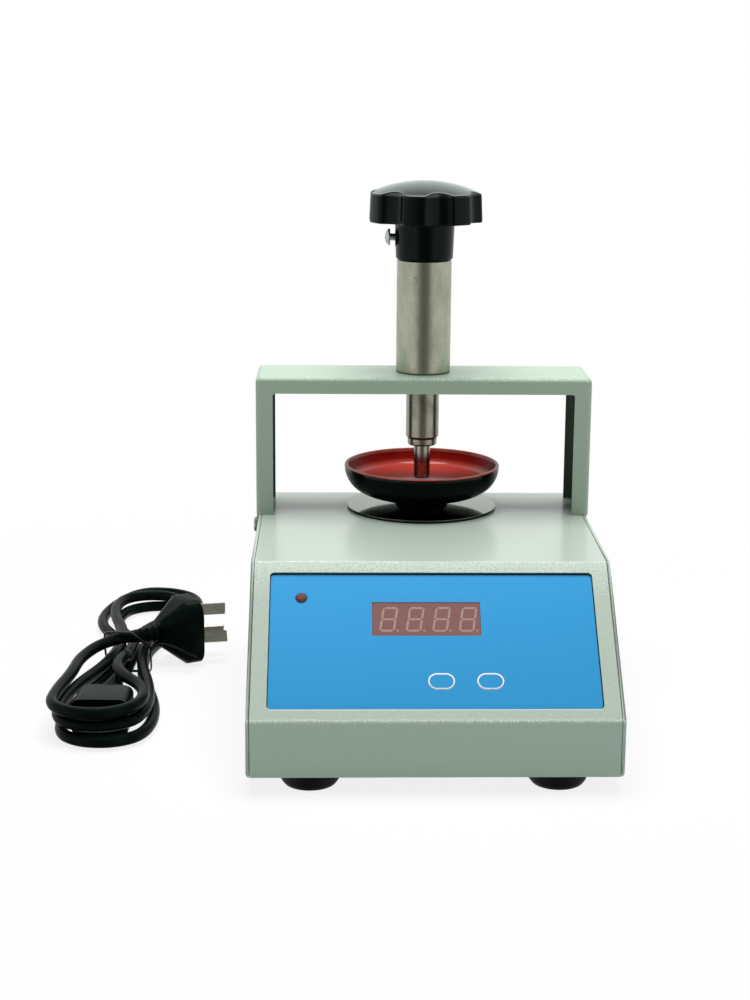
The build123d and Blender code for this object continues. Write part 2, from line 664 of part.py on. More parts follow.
with BuildPart() as gantry_frame:
    with BuildSketch(front_of_gantry):
        gantry_outer()
        gantry_inner(FLANGE)
    extrude(amount=-GANTRY_D)
    upright = gantry_frame.edges().filter_by(Axis.Y)
    fillet(upright.filter_by(lambda e: e.center().Z > GANTRY_TOP - 0.1), CORNER_R)
    fillet(upright.filter_by(lambda e: LEG_FOOT + 1 < e.center().Z < GANTRY_TOP - 1), BEND_R)
    rims = gantry_frame.edges().filter_by(
        lambda e: e.center().Y < GANTRY_FRONT + 0.1 or e.center().Y > GANTRY_FRONT + GANTRY_D - 0.1
    )
    outer_rims = rims.filter_by(
        lambda e: e.center().Z > LEG_FOOT + 1
        and (abs(e.center().X) > GANTRY_W / 2 - CORNER_R or e.center().Z > GANTRY_TOP - CORNER_R)
    )
    fillet(outer_rims, FLANGE_BEND_R)
    with BuildSketch(front_of_gantry.offset(-SHEET)):
        gantry_inner(SHEET, mode=Mode.ADD)
    extrude(amount=-(GANTRY_D - 2 * SHEET), mode=Mode.SUBTRACT)
    for tab_x in (-GANTRY_W / 2, GANTRY_W / 2 - SHEET):
        with BuildSketch(Plane.YZ.offset(tab_x)) as tab_end:
            with Locations((COLUMN_Y, LEG_FOOT + SHEET)):
                Rectangle(TAB_W, TAB_DROP + SHEET, align=(Align.CENTER, Align.MAX))
            fillet(tab_end.vertices().group_by(Axis.Y)[0], TAB_R)
        extrude(amount=SHEET)
    with BuildSketch(Plane.YZ.offset(-GANTRY_W / 2)):
        with Locations((COLUMN_Y, TOP_Z - SIDE_SCREW_DROP)):
            Circle(SIDE_SCREW_R)
    extrude(amount=GANTRY_W, mode=Mode.SUBTRACT)
    with BuildSketch(Plane(origin=(0, COLUMN_Y, GANTRY_TOP))):
        Circle(SPIGOT_R)
    extrude(amount=-SHEET, mode=Mode.SUBTRACT)
finish(gantry_frame, "gantry_frame")

# Side screws through the tabs and the walls, each with its nut inside
with BuildPart() as gantry_screws:
    for side in (-1, 1):
        head_plane = Plane(
            origin=(side * GANTRY_W / 2, COLUMN_Y, TOP_Z - SIDE_SCREW_DROP),
            x_dir=(0, side, 0), z_dir=(side, 0, 0),
        )
        with BuildSketch(head_plane):
            Circle(SIDE_HEAD_R)
        extrude(amount=SIDE_HEAD_T)
        with BuildSketch(head_plane):
            Circle(SIDE_SCREW_R)
        extrude(amount=-SIDE_SCREW_L)
    ends = gantry_screws.faces().filter_by(Axis.X).sort_by(Axis.X)
    chamfer(ends[0].edges() + ends[-1].edges(), SIDE_HEAD_EDGE)
finish(gantry_screws, "gantry_screws")

with BuildPart() as gantry_nuts:
    for side in (-1, 1):
        nut_plane = Plane(
            origin=(side * WALL_IN, COLUMN_Y, TOP_Z - SIDE_SCREW_DROP),
            x_dir=(0, side, 0), z_dir=(-side, 0, 0),
        )
        with BuildSketch(nut_plane):
            RegularPolygon(SIDE_NUT_R, 6)
            Circle(SIDE_SCREW_R, mode=Mode.SUBTRACT)
        extrude(amount=SIDE_NUT_T)
finish(gantry_nuts, "gantry_nuts")

# Guide tube on the beam, held from below by a ring nut on its spigot
with BuildPart() as guide_tube:
    with BuildSketch(column_section):
        with BuildLine():
            Polyline(
                (TUBE_BORE_R, GANTRY_TOP - SPIGOT_DROP),
                (SPIGOT_R, GANTRY_TOP - SPIGOT_DROP),
                (SPIGOT_R, GANTRY_TOP),
                (TUBE_R, GANTRY_TOP),
                (TUBE_R, GANTRY_TOP + TUBE_H - TUBE_EDGE),
                (TUBE_R - TUBE_EDGE, GANTRY_TOP + TUBE_H),
                (TUBE_BORE_R, GANTRY_TOP + TUBE_H),
                close=True,
            )
        make_face()
    revolve(axis=Axis((0, COLUMN_Y, 0), (0, 0, 1)))
finish(guide_tube, "guide_tube")

with BuildPart() as ring_nut:
    with BuildSketch(Plane(origin=(0, COLUMN_Y, GANTRY_TOP - SHEET))):
        Circle(RING_NUT_R)
        with PolarLocations(RING_NUT_R, RING_SLOTS):
            Rectangle(2 * RING_SLOT_DEEP, RING_SLOT_W, mode=Mode.SUBTRACT)
        Circle(SPIGOT_R, mode=Mode.SUBTRACT)
    extrude(amount=-RING_NUT_T)
finish(ring_nut, "ring_nut")

with BuildPart() as thread_bush:
    with BuildSketch(Plane(origin=(0, COLUMN_Y, GANTRY_TOP - SPIGOT_DROP))):
        Circle(TUBE_BORE_R)
        Circle(SPINDLE_R + RUNNING, mode=Mode.SUBTRACT)
    extrude(amount=BUSH_H)
finish(thread_bush, "thread_bush")

# Screw spindle with the nose that the collar turns on
COLLAR_TOP = SPINDLE_END - SWIVEL_GAP
COLLAR_BOTTOM = COLLAR_TOP - COLLAR_H
NOSE_END = COLLAR_TOP - NOSE_IN
SPINDLE_TOP = KNOB_Z + KNOB_BORE_H
with BuildPart() as spindle:
    with BuildSketch(column_section):
        with BuildLine():
            Polyline(
                (0, NOSE_END),
                (NOSE_R, NOSE_END),
                (NOSE_R, SPINDLE_END),
                (SPINDLE_R - SPINDLE_CHAMFER, SPINDLE_END),
                (SPINDLE_R, SPINDLE_END + SPINDLE_CHAMFER),
                (SPINDLE_R, KNOB_Z),
                (KNOB_BORE_R, KNOB_Z),
                (KNOB_BORE_R, SPINDLE_TOP),
                (0, SPINDLE_TOP),
                close=True,
            )
        make_face()
    revolve(axis=Axis((0, COLUMN_Y, 0), (0, 0, 1)))
finish(spindle, "spindle")

# Swivel collar: it turns on the spindle's nose, so that the punch doesn't turn on the particle
with BuildPart() as swivel_collar:
    with BuildSketch(column_section):
        with BuildLine():
            Polyline(
                (0, COLLAR_BOTTOM),
                (COLLAR_R - COLLAR_CHAMFER, COLLAR_BOTTOM),
                (COLLAR_R, COLLAR_BOTTOM + COLLAR_CHAMFER),
                (COLLAR_R, COLLAR_TOP),
                (NOSE_R + RUNNING, COLLAR_TOP),
                (NOSE_R + RUNNING, NOSE_END - RUNNING),
                (0, NOSE_END - RUNNING),
                close=True,
            )
        make_face()
    revolve(axis=Axis((0, COLUMN_Y, 0), (0, 0, 1)))
finish(swivel_collar, "swivel_collar")

with BuildPart() as punch:
    with BuildSketch(Plane(origin=(0, COLUMN_Y, PUNCH_END))):
        Circle(PUNCH_R)
    extrude(amount=COLLAR_BOTTOM - PUNCH_END)
    chamfer(punch.edges().group_by(Axis.Z)[0], PUNCH_CHAMFER)
finish(punch, "punch")

# Star knob: seven rounded lobes with a finger hollow between each pair, under a low dome
LOBE_STEP = 360 / KNOB_LOBES
RIM_Z = KNOB_Z + HUB_H
DOME_R = (KNOB_R**2 + KNOB_DOME**2) / (2 * KNOB_DOME)
HALF_DOME = KNOB_DOME - DOME_R + (DOME_R**2 - KNOB_R**2 / 4) ** 0.5  # the dome's height half way out
HOLLOW_CENTRE = KNOB_R - KNOB_VALLEY + HOLLOW_R
with BuildPart() as star_knob:
    with BuildSketch(Plane(origin=(0, COLUMN_Y, RIM_Z))) as star:
        Circle(KNOB_R + LOBE_PROUD)
        with PolarLocations(HOLLOW_CENTRE, KNOB_LOBES, start_angle=KNOB_FIRST + LOBE_STEP / 2):
            Circle(HOLLOW_R, mode=Mode.SUBTRACT)
        fillet(star.vertices(), LOBE_ROUND)
    extrude(amount=KNOB_SKIRT + KNOB_DOME, taper=KNOB_TAPER)
    with BuildSketch(column_section):
        with BuildLine():
            skirt_top = RIM_Z + KNOB_SKIRT
            shoulder_low = (KNOB_R + SHOULDER_OUT, skirt_top - SHOULDER_DROP)
            shoulder_high = (KNOB_R - SHOULDER_IN, skirt_top + SHOULDER_RISE)
            Polyline((0, RIM_Z), (KNOB_R + SHOULDER_OUT, RIM_Z), shoulder_low)
            RadiusArc(shoulder_low, shoulder_high, -SHOULDER_R)
            ThreePointArc(shoulder_high, (KNOB_R / 2, skirt_top + HALF_DOME), (0, skirt_top + KNOB_DOME))
            Line((0, skirt_top + KNOB_DOME), (0, RIM_Z))
        make_face()
    revolve(axis=Axis((0, COLUMN_Y, 0), (0, 0, 1)), mode=Mode.INTERSECT)
    fillet(star_knob.faces().sort_by(Axis.Z)[0].edges(), KNOB_EDGE)
    with BuildSketch(column_section):
        with BuildLine():
            Polyline(
                (0, KNOB_Z), (HUB_END_R - KNOB_EDGE, KNOB_Z), (HUB_END_R, KNOB_Z + KNOB_EDGE),
                (HUB_TOP_R, RIM_Z), (HUB_TOP_R + KNOB_EDGE, RIM_Z + KNOB_EDGE), (0, RIM_Z + KNOB_EDGE),
                close=True,
            )
        make_face()
    revolve(axis=Axis((0, COLUMN_Y, 0), (0, 0, 1)))
    with BuildSketch(Plane(origin=(0, COLUMN_Y, KNOB_Z))):
        Circle(KNOB_BORE_R)
    extrude(amount=KNOB_BORE_H, mode=Mode.SUBTRACT)
    screw_way = Plane(
        origin=(-KNOB_BORE_R, COLUMN_Y, KNOB_Z + KNOB_SCREW_RISE), x_dir=(0, -1, 0), z_dir=(-1, 0, 0)
    )
    with BuildSketch(screw_way.offset(-1)):
        Circle(KNOB_SCREW_R)
    extrude(amount=HUB_TOP_R, mode=Mode.SUBTRACT)
finish(star_knob, "star_knob")

# Clamp screw of the knob, with a low domed head and a slot
with BuildPart() as knob_screw:
    with BuildSketch(screw_way):
        Circle(KNOB_SCREW_R)
    extrude(amount=KNOB_SCREW_OUT - KNOB_BORE_R)
    with BuildSketch(Plane(origin=screw_way.origin, x_dir=(-1, 0, 0), z_dir=(0, -1, 0))):
        with BuildLine():
            reach = KNOB_SCREW_OUT - KNOB_BORE_R
            Line((reach, 0), (reach, KNOB_SCREW_HEAD_R))
            ThreePointArc(
                (reach, KNOB_SCREW_HEAD_R),
                (reach + KNOB_SCREW_HEAD_T * 0.74, KNOB_SCREW_HEAD_R * 0.55),
                (reach + KNOB_SCREW_HEAD_T, 0),
            )
            Line((reach + KNOB_SCREW_HEAD_T, 0), (reach, 0))
        make_face()
    revolve(axis=Axis(screw_way.origin, (1, 0, 0)))
    with BuildSketch(screw_way.offset(reach + KNOB_SCREW_HEAD_T)):
        Rectangle(2 * KNOB_SCREW_HEAD_R, KNOB_SCREW_SLOT)
    extrude(amount=-KNOB_SCREW_SLOT_DEEP, mode=Mode.SUBTRACT)
finish(knob_screw, "knob_screw")

# Load disc on its post, and the dish that stands on it
with BuildPart() as load_disc:
    with BuildSketch(Plane(origin=(0, COLUMN_Y, TOP_Z + DISC_GAP))):
        Circle(DISC_R)
    extrude(amount=DISC_T)
    chamfer(load_disc.edges().group_by(Axis.Z)[-1], DISC_EDGE)
finish(load_disc, "load_disc")

with BuildPart() as dish:
    with BuildSketch(column_section):
        with BuildLine():
            sole_edge = (FOOT_RING_R + FOOT_RING_FLARE, DISH_SOLE)
            outer_lip = (DISH_R, DISH_RIM - LIP_DROP)
            inner_lip = (DISH_R - DISH_WALL, DISH_RIM - LIP_DROP)
            flat_edge = (FLAT_R, DISH_FLOOR + FLAT_RISE)
            Polyline((0, DISH_SOLE + DISH_WELL), (FOOT_RING_IN_R, DISH_SOLE + DISH_WELL),
                     (FOOT_RING_IN_R + FOOT_RING_FLARE, DISC_TOP), (FOOT_RING_R, DISC_TOP), sole_edge)
            Bezier(sole_edge, (BELLY_R, DISH_SOLE + BELLY_RISE),
                   (DISH_R - BULGE_IN, DISH_SOLE + BULGE_RISE), outer_lip)
            ThreePointArc(outer_lip, (DISH_R - DISH_WALL / 2, DISH_RIM), inner_lip)
            Bezier(inner_lip, (DISH_R - DISH_WALL - INSIDE_LEAN, DISH_FLOOR + INSIDE_RISE),
                   (HEEL_R, DISH_FLOOR + HEEL_RISE), flat_edge)
            Polyline(flat_edge, (0, DISH_FLOOR), (0, DISH_SOLE + DISH_WELL))
        make_face()
    revolve(axis=Axis((0, COLUMN_Y, 0), (0, 0, 1)))
finish(dish, "dish")

# Load cell: a bending beam bolted down at its front end, with the post on its free end
CELL_TOP = CELL_Z + CELL_H
CELL_FRONT = COLUMN_Y + CELL_PAST - CELL_L
CELL_BOLT_PLACES = [(0, -CELL_BOLT_Y), (0, CELL_BOLT_Y)]
with BuildPart() as load_cell:
    with BuildSketch(Plane.YZ.offset(-CELL_W / 2)):
        with Locations((CELL_FRONT, CELL_Z)):
            Rectangle(CELL_L, CELL_H, align=(Align.MIN, Align.MIN))
        with Locations((CELL_FRONT + CELL_L / 2 + CELL_SLOT_BACK, CELL_Z + CELL_H / 2)):
            with GridLocations(CELL_BORES, 0, 2, 1):
                Circle(CELL_BORE_R, mode=Mode.SUBTRACT)
            Rectangle(CELL_BORES, CELL_SLOT, mode=Mode.SUBTRACT)
    extrude(amount=CELL_W)
    with BuildSketch(Plane(origin=(0, COLUMN_Y, CELL_TOP))):
        Circle(POST_STUD_R)
    extrude(amount=-CELL_H, mode=Mode.SUBTRACT)
    with BuildSketch(Plane(origin=(0, CELL_FRONT + CELL_FIXED / 2, CELL_TOP))):
        with Locations(*CELL_BOLT_PLACES):
            Circle(CELL_BOLT_R)
    extrude(amount=-CELL_H, mode=Mode.SUBTRACT)
finish(load_cell, "load_cell")

with BuildPart() as cell_block:
    with BuildSketch(Plane(origin=(0, CELL_FRONT + CELL_FIXED / 2, FLOOR_Z))):
        Rectangle(CELL_W + 2 * BLOCK_SIDE, CELL_FIXED)
        with Locations(*CELL_BOLT_PLACES):
            Circle(CELL_BOLT_R, mode=Mode.SUBTRACT)
    extrude(amount=CELL_Z - FLOOR_Z)
finish(cell_block, "cell_block")

with BuildPart() as cell_bolts:
    with BuildSketch(Plane(origin=(0, CELL_FRONT + CELL_FIXED / 2, CELL_TOP))):
        with Locations(*CELL_BOLT_PLACES):
            Circle(CELL_BOLT_HEAD_R)
    extrude(amount=CELL_BOLT_HEAD_T)
    with BuildSketch(Plane(origin=(0, CELL_FRONT + CELL_FIXED / 2, CELL_TOP + CELL_BOLT_HEAD_T))):
        with Locations(*CELL_BOLT_PLACES):
            RegularPolygon(CELL_BOLT_KEY_R, 6)
    extrude(amount=-CELL_BOLT_KEY_DEEP, mode=Mode.SUBTRACT)
    with BuildSketch(Plane(origin=(0, CELL_FRONT + CELL_FIXED / 2, CELL_TOP))):
        with Locations(*CELL_BOLT_PLACES):
            Circle(CELL_BOLT_R)
    extrude(amount=-(CELL_TOP - FLOOR_Z))
finish(cell_bolts, "cell_bolts")

with BuildPart() as load_post:
    with BuildSketch(column_section):
        with BuildLine():
            Polyline(
                (0, CELL_Z + POST_STUD_UP), (POST_STUD_R, CELL_Z + POST_STUD_UP), (POST_STUD_R, CELL_TOP),
                (POST_COLLAR_R, CELL_TOP), (POST_COLLAR_R, CELL_TOP + POST_COLLAR_T),
                (POST_R, CELL_TOP + POST_COLLAR_T + POST_COLLAR_FALL), (POST_R, TOP_Z + DISC_GAP),
                (0, TOP_Z + DISC_GAP), close=True,
            )
        make_face()
    revolve(axis=Axis((0, COLUMN_Y, 0), (0, 0, 1)))
finish(load_post, "load_post")

# Mains transformer and the main circuit board on the chassis floor
with BuildPart() as transformer_core:
    with BuildSketch(Plane(origin=(*TRANSFORMER, FLOOR_Z))):
        Rectangle(CORE_W, CORE_D)
    extrude(amount=CORE_H)
    with BuildSketch(Plane(origin=(*TRANSFORMER, FLOOR_Z + CORE_H / 2), x_dir=(1, 0, 0), z_dir=(0, -1, 0))):
        with GridLocations(2 * CORE_WINDOW_X, 0, 2, 1):
            Rectangle(CORE_WINDOW_W, CORE_WINDOW_H)
    extrude(amount=CORE_D / 2, both=True, mode=Mode.SUBTRACT)
finish(transformer_core, "transformer_core")

with BuildPart() as transformer_coil:
    with BuildSketch(Plane(origin=(*TRANSFORMER, FLOOR_Z + (CORE_H - COIL_H) / 2))):
        RectangleRounded(COIL_W, COIL_D, COIL_R)
        Rectangle(COIL_IN_W, CORE_D, mode=Mode.SUBTRACT)
    extrude(amount=COIL_H)
finish(transformer_coil, "transformer_coil")

with BuildPart() as main_board:
    with BuildSketch(Plane(origin=(*MAIN_BOARD, FLOOR_Z + MAIN_BOARD_UP))):
        RectangleRounded(MAIN_BOARD_W, MAIN_BOARD_L, BOARD_R)
        with GridLocations(MAIN_BOARD_W - MAIN_BOARD_EDGE, MAIN_BOARD_L - MAIN_BOARD_EDGE, 2, 2):
            Circle(BOARD_HOLE_R, mode=Mode.SUBTRACT)
    extrude(amount=BOARD_T)
finish(main_board, "main_board")

with BuildPart() as board_parts:
    top_of_board = Plane(origin=(*MAIN_BOARD, FLOOR_Z + MAIN_BOARD_UP + BOARD_T))
    with BuildSketch(top_of_board):
        with Locations((-8, 6)):
            Rectangle(36, 14)
        with Locations((14, -18), (-2, -18)):
            Rectangle(8, 10)
    extrude(amount=CHIP_H)
    with BuildSketch(top_of_board):
        with Locations((18, 28), (4, 30)):
            Circle(CAPACITOR_R)
    extrude(amount=CAPACITOR_H)
    with BuildSketch(top_of_board):
        with Locations((-16, 32)):
            Rectangle(15, 8)
    extrude(amount=TERMINAL_H)
finish(board_parts, "board_parts")

with BuildPart() as board_feet:
    with BuildSketch(Plane(origin=(*MAIN_BOARD, FLOOR_Z))):
        with GridLocations(MAIN_BOARD_W - MAIN_BOARD_EDGE, MAIN_BOARD_L - MAIN_BOARD_EDGE, 2, 2):
            RegularPolygon(BOARD_POST_R, 6)
    extrude(amount=MAIN_BOARD_UP)
finish(board_feet, "board_feet")

# Mains inlet with its fuse drawer, rear face outwards
inlet_face = Plane(origin=(INLET_X, BACK_Y + REAR_PROUD, INLET_Z), x_dir=(-1, 0, 0), z_dir=(0, 1, 0))


def socket_outline(width, height, corner):
    """An inlet's outline: a rectangle with its two lower corners cut off."""
    w, h = width / 2, height / 2
    Polygon((-w, h), (w, h), (w, -h + corner), (w - corner, -h), (-w + corner, -h), (-w, -h + corner),
            align=None)


with BuildPart() as mains_inlet:
    with BuildSketch(inlet_face):
        RectangleRounded(INLET_W + 2 * INLET_RIM, INLET_H + 2 * INLET_RIM, INLET_R)
    extrude(amount=-(REAR_PROUD + SHEET))
    fillet(mains_inlet.faces().sort_by(Axis.Y)[-1].edges(), INLET_EDGE)
    with BuildSketch(inlet_face.offset(-REAR_PROUD - SHEET)):
        Rectangle(INLET_W, INLET_H)
    extrude(amount=-INLET_DEEP)
    with BuildSketch(inlet_face):
        with Locations((0, SOCKET_MID)):
            socket_outline(SOCKET_W, SOCKET_H, SOCKET_CORNER)
    extrude(amount=-SOCKET_DEEP, mode=Mode.SUBTRACT)
    with BuildSketch(inlet_face):
        with Locations((0, DRAWER_MID)):
            Rectangle(DRAWER_W + 2 * DRAWER_GAP, DRAWER_H + 2 * DRAWER_GAP)
    extrude(amount=-(DRAWER_L + DRAWER_GAP), mode=Mode.SUBTRACT)
finish(mains_inlet, "mains_inlet")

with BuildPart() as inlet_pins:
    with BuildSketch(inlet_face.offset(-PIN_IN)):
        with Locations((-PIN_X, SOCKET_MID - PIN_Y), (PIN_X, SOCKET_MID - PIN_Y), (0, SOCKET_MID + PIN_Y)):
            Rectangle(PIN_W, PIN_H)
    extrude(amount=-(SOCKET_DEEP - PIN_IN))
finish(inlet_pins, "inlet_pins")

with BuildPart() as fuse_drawer:
    with BuildSketch(inlet_face):
        with Locations((0, DRAWER_MID)):
            Rectangle(DRAWER_W, DRAWER_H)
    extrude(amount=-DRAWER_L)
    with BuildSketch(inlet_face.offset(-DRAWER_FRONT)):
        with Locations((0, DRAWER_MID + DRAWER_FLOOR)):
            Rectangle(DRAWER_W - 2 * DRAWER_WALL, DRAWER_H)
    extrude(amount=-(DRAWER_L - DRAWER_FRONT - DRAWER_BACK), mode=Mode.SUBTRACT)
    with BuildSketch(inlet_face):
        with Locations((0, DRAWER_MID)):
            Rectangle(GRIP_W, GRIP_H)
    extrude(amount=-GRIP_DEEP, mode=Mode.SUBTRACT)
finish(fuse_drawer, "fuse_drawer")

with BuildPart() as fuse:
    with BuildSketch(inlet_face.offset(-FUSE_IN)):
        with Locations((FUSE_X, DRAWER_MID - DRAWER_H / 2 + DRAWER_FLOOR + FUSE_R)):
            Circle(FUSE_R)
    extrude(amount=-FUSE_L)
finish(fuse, "fuse")

# Power switch: a bezel with a rocker that tips on a pin across its middle
rocker_face = Plane(origin=(ROCKER_X, BACK_Y + REAR_PROUD, ROCKER_Z), x_dir=(-1, 0, 0), z_dir=(0, 1, 0))
with BuildPart() as switch_body:
    with BuildSketch(rocker_face.offset(-REAR_PROUD + BEZEL_T)):
        RectangleRounded(ROCKER_W + 2 * BEZEL_RIM, ROCKER_H + 2 * BEZEL_RIM, BEZEL_R)
    extrude(amount=-(BEZEL_T + SHEET))
    with BuildSketch(rocker_face.offset(-REAR_PROUD - SHEET)):
        Rectangle(ROCKER_W, ROCKER_H)
    extrude(amount=-SWITCH_DEEP)
    with BuildSketch(rocker_face):
        Rectangle(2 * (ROCKER_HALF + SWITCH_GAP), ROCKER_THICK + 2 * SWITCH_GAP)
    extrude(amount=-(REAR_PROUD + SHEET + SWITCH_DEEP - SWITCH_BACK), mode=Mode.SUBTRACT)
    with BuildSketch(Plane(origin=(ROCKER_X, ROCKER_PIVOT_Y, ROCKER_Z))):
        Circle(PIVOT_R)
    extrude(amount=ROCKER_THICK / 2 + SWITCH_GAP, both=True)
finish(switch_body, "switch_body")

with BuildPart() as power_rocker:
    rocker_plan = Plane(origin=(ROCKER_X, ROCKER_PIVOT_Y, ROCKER_Z - ROCKER_THICK / 2))
    with BuildSketch(rocker_plan.rotated((0, 0, -ROCKER_SWING / 2))):
        with BuildLine():
            Polyline((-6.8, 4.4), (0, 3.4), (6.8, 4.4), (6.4, -1.4), (3, -4.0), (-3, -4.0), (-6.4, -1.4),
                     close=True)
        make_face()
        Circle(PIVOT_R + RUNNING, mode=Mode.SUBTRACT)
    extrude(amount=ROCKER_THICK)
finish(power_rocker, "power_rocker")

# Loose mains lead: a hank of three layers, tied at its waist, with both its ends on the near side
hank = Plane(origin=(HANK_X, HANK_Y, 0)).rotated((0, 0, HANK_TURN))
CORD_R = CORD_D / 2
LOW, MIDDLE, HIGH = LAYER_Z
PLUG_HEADING = (cos(radians(PLUG_TURN)), sin(radians(PLUG_TURN)))


def laid(x, y, z):
    """A point of the hank's own frame."""
    return hank.from_local_coords(Vector(x, y, z))


def heading(dx, dy):
    """A level direction of the hank's own frame."""
    return laid(dx, dy, 0) - laid(0, 0, 0)


def loop_round(way, first, last, reach, low, high):
    """Shoulder, tip and shoulder of one loop, way +1 at the far end and -1 at the near end."""
    half = abs(last - first) / 2
    shoulder = way * (reach - half)
    turn = 1 if last > first else -1
    return [
        (laid(first, shoulder, low), heading(0, way)),
        (laid((first + last) / 2, way * reach, high), heading(turn, 0)),
        (laid(last, shoulder, high), heading(0, -way)),
    ]


def waist(x, way, z):
    """Passing point of a strand at the waist."""
    return [(laid(x, 0, z), heading(0, way))]


cord_stops = (
    [(laid(0, RELIEF_END, SOCKET_AXIS_Z), heading(0, 1)), (laid(0, RELIEF_END / 2, LOW), heading(0, 1))]
    + waist(0, 1, LOW)
    + loop_round(1, -18.0, 26.0, 98.0, LOW, LOW)
    + waist(STRAND, -1, LOW)
    + loop_round(-1, 24.0, -21.0, 136.0, LOW, LOW)
    + waist(-STRAND, 1, LOW)
    + loop_round(1, -28.0, 28.0, 105.0, LOW, MIDDLE)
    + waist(STRAND, -1, MIDDLE)
    + loop_round(-1, 21.0, -23.0, 132.0, MIDDLE, MIDDLE)
    + waist(-STRAND, 1, MIDDLE)
    + loop_round(1, -20.0, 18.0, 98.0, MIDDLE, MIDDLE)
    + waist(0, -1, MIDDLE)
    + [(laid(0, -14, MIDDLE), heading(0, -1)), (laid(0, -50, HIGH), heading(0, -1))]
    + loop_round(-1, 20.0, -25.0, 133.0, HIGH, HIGH)
    + [(laid(-22, -58, HIGH), heading(0, 1)), (laid(0, -11, PLUG_AXIS_Z), heading(*PLUG_HEADING))]
)


def smooth_step(here, there):
    """Two arcs, or a line, from one stop to the next without a kink."""
    (a, out), (b, into) = here, there
    span, both = b - a, out + into
    spread = 2 * (1 - out.dot(into))
    if span.normalized().dot(out) > 0.99999:
        Line(a, b)
        return
    if spread > 0.001:
        arm = (-span.dot(both) + (span.dot(both) ** 2 + spread * span.dot(span)) ** 0.5) / spread
    else:
        arm = span.dot(span) / (2 * span.dot(both))
    leaving, arriving = a + out * arm, b - into * arm
    middle = (leaving + arriving) / 2
    TangentArc(a, middle, tangent=out)
    TangentArc(middle, b, tangent=arriving - leaving)


with BuildPart() as mains_cord:
    with BuildLine() as cord_line:
        for here, there in zip(cord_stops, cord_stops[1:]):
            smooth_step(here, there)
    with BuildSketch(Plane(origin=cord_line.line @ 0, z_dir=cord_line.line % 0)):
        Circle(CORD_R)
    sweep(path=cord_line.wires()[0])
finish(mains_cord, "mains_cord")

# What the cord measures: volume against section times length, radii, and least gap to itself
cord_path = cord_line.wires()[0]
bends = sorted(edge.radius for edge in cord_path.edges() if edge.geom_type == GeomType.CIRCLE)
STEP = 2.0  # spacing of the measured points along the cord
steps = round(cord_path.length / STEP)
on_cord = [tuple(cord_path.position_at(i / steps)) for i in range(steps + 1)]
apart = round(5 * CORD_D / STEP)
least_gap = min(
    dist(on_cord[i], on_cord[j]) for i in range(steps + 1) for j in range(i + apart, steps + 1)
) - CORD_D
print(
    f"cord length {cord_path.length:.0f} mm, volume over section times length "
    f"{mains_cord.part.volume / (pi * CORD_R**2 * cord_path.length):.4f}, "
    f"radii {bends[0]:.1f} to {bends[-1]:.0f} mm, least gap to itself {least_gap:.2f} mm"
)

# Appliance connector and its ribbed strain relief
socket_start = Plane(origin=laid(0, RELIEF_END, SOCKET_AXIS_Z), x_dir=heading(1, 0), z_dir=heading(0, -1))
with BuildPart() as socket_relief:
    with BuildSketch(socket_start):
        Circle(RELIEF_R)
    with BuildSketch(socket_start.offset(RELIEF_L)):
        Circle(2 * RELIEF_R)
    loft()
    for rib in range(1, RELIEF_RIBS):
        with BuildSketch(socket_start.offset(rib * RELIEF_L / RELIEF_RIBS)):
            Circle(3 * RELIEF_R)
            Circle(RELIEF_R * (0.72 + rib / RELIEF_RIBS), mode=Mode.SUBTRACT)
        extrude(amount=RIB_GAP, mode=Mode.SUBTRACT)
finish(socket_relief, "socket_relief")

with BuildPart() as lead_socket:
    with BuildSketch(socket_start.offset(RELIEF_L)):
        RectangleRounded(CONNECTOR_W * 0.7, CONNECTOR_H * 0.8, CONNECTOR_R)
    with BuildSketch(socket_start.offset(RELIEF_L + CONNECTOR_NECK)):
        RectangleRounded(CONNECTOR_W, CONNECTOR_H, CONNECTOR_R)
    loft()
    with BuildSketch(socket_start.offset(RELIEF_L + CONNECTOR_NECK)):
        RectangleRounded(CONNECTOR_W, CONNECTOR_H, CONNECTOR_R)
    extrude(amount=CONNECTOR_L - CONNECTOR_NECK)
    with BuildSketch(socket_start.offset(RELIEF_L + CONNECTOR_L)):
        with Locations((-PIN_X, -PIN_Y), (PIN_X, -PIN_Y), (0, PIN_Y)):
            Rectangle(CONTACT_W, CONTACT_H)
    extrude(amount=-CONTACT_DEEP, mode=Mode.SUBTRACT)
    with BuildSketch(socket_start.offset(RELIEF_L + CONNECTOR_L)):
        RectangleRounded(CONNECTOR_W - 3, CONNECTOR_H - 3.4, 2)
        Rectangle(CONNECTOR_W - 6, CONNECTOR_H - 6.4, mode=Mode.SUBTRACT)
    extrude(amount=-1, mode=Mode.SUBTRACT)
finish(lead_socket, "lead_socket")

# Mains plug: relief, flaring body and three flat blades
plug_start = Plane(
    origin=laid(0, -11, PLUG_AXIS_Z), x_dir=heading(PLUG_HEADING[1], -PLUG_HEADING[0]),
    z_dir=heading(*PLUG_HEADING),
)
with BuildPart() as plug_relief:
    with BuildSketch(plug_start):
        Circle(RELIEF_R)
    with BuildSketch(plug_start.offset(PLUG_RELIEF_L)):
        Circle(RELIEF_R * 1.5)
    loft()
    for rib in range(1, PLUG_RELIEF_RIBS):
        with BuildSketch(plug_start.offset(rib * PLUG_RELIEF_L / PLUG_RELIEF_RIBS)):
            Circle(2 * RELIEF_R)
            Circle(RELIEF_R * (0.84 + rib / PLUG_RELIEF_RIBS / 2), mode=Mode.SUBTRACT)
        extrude(amount=RIB_GAP, mode=Mode.SUBTRACT)
finish(plug_relief, "plug_relief")

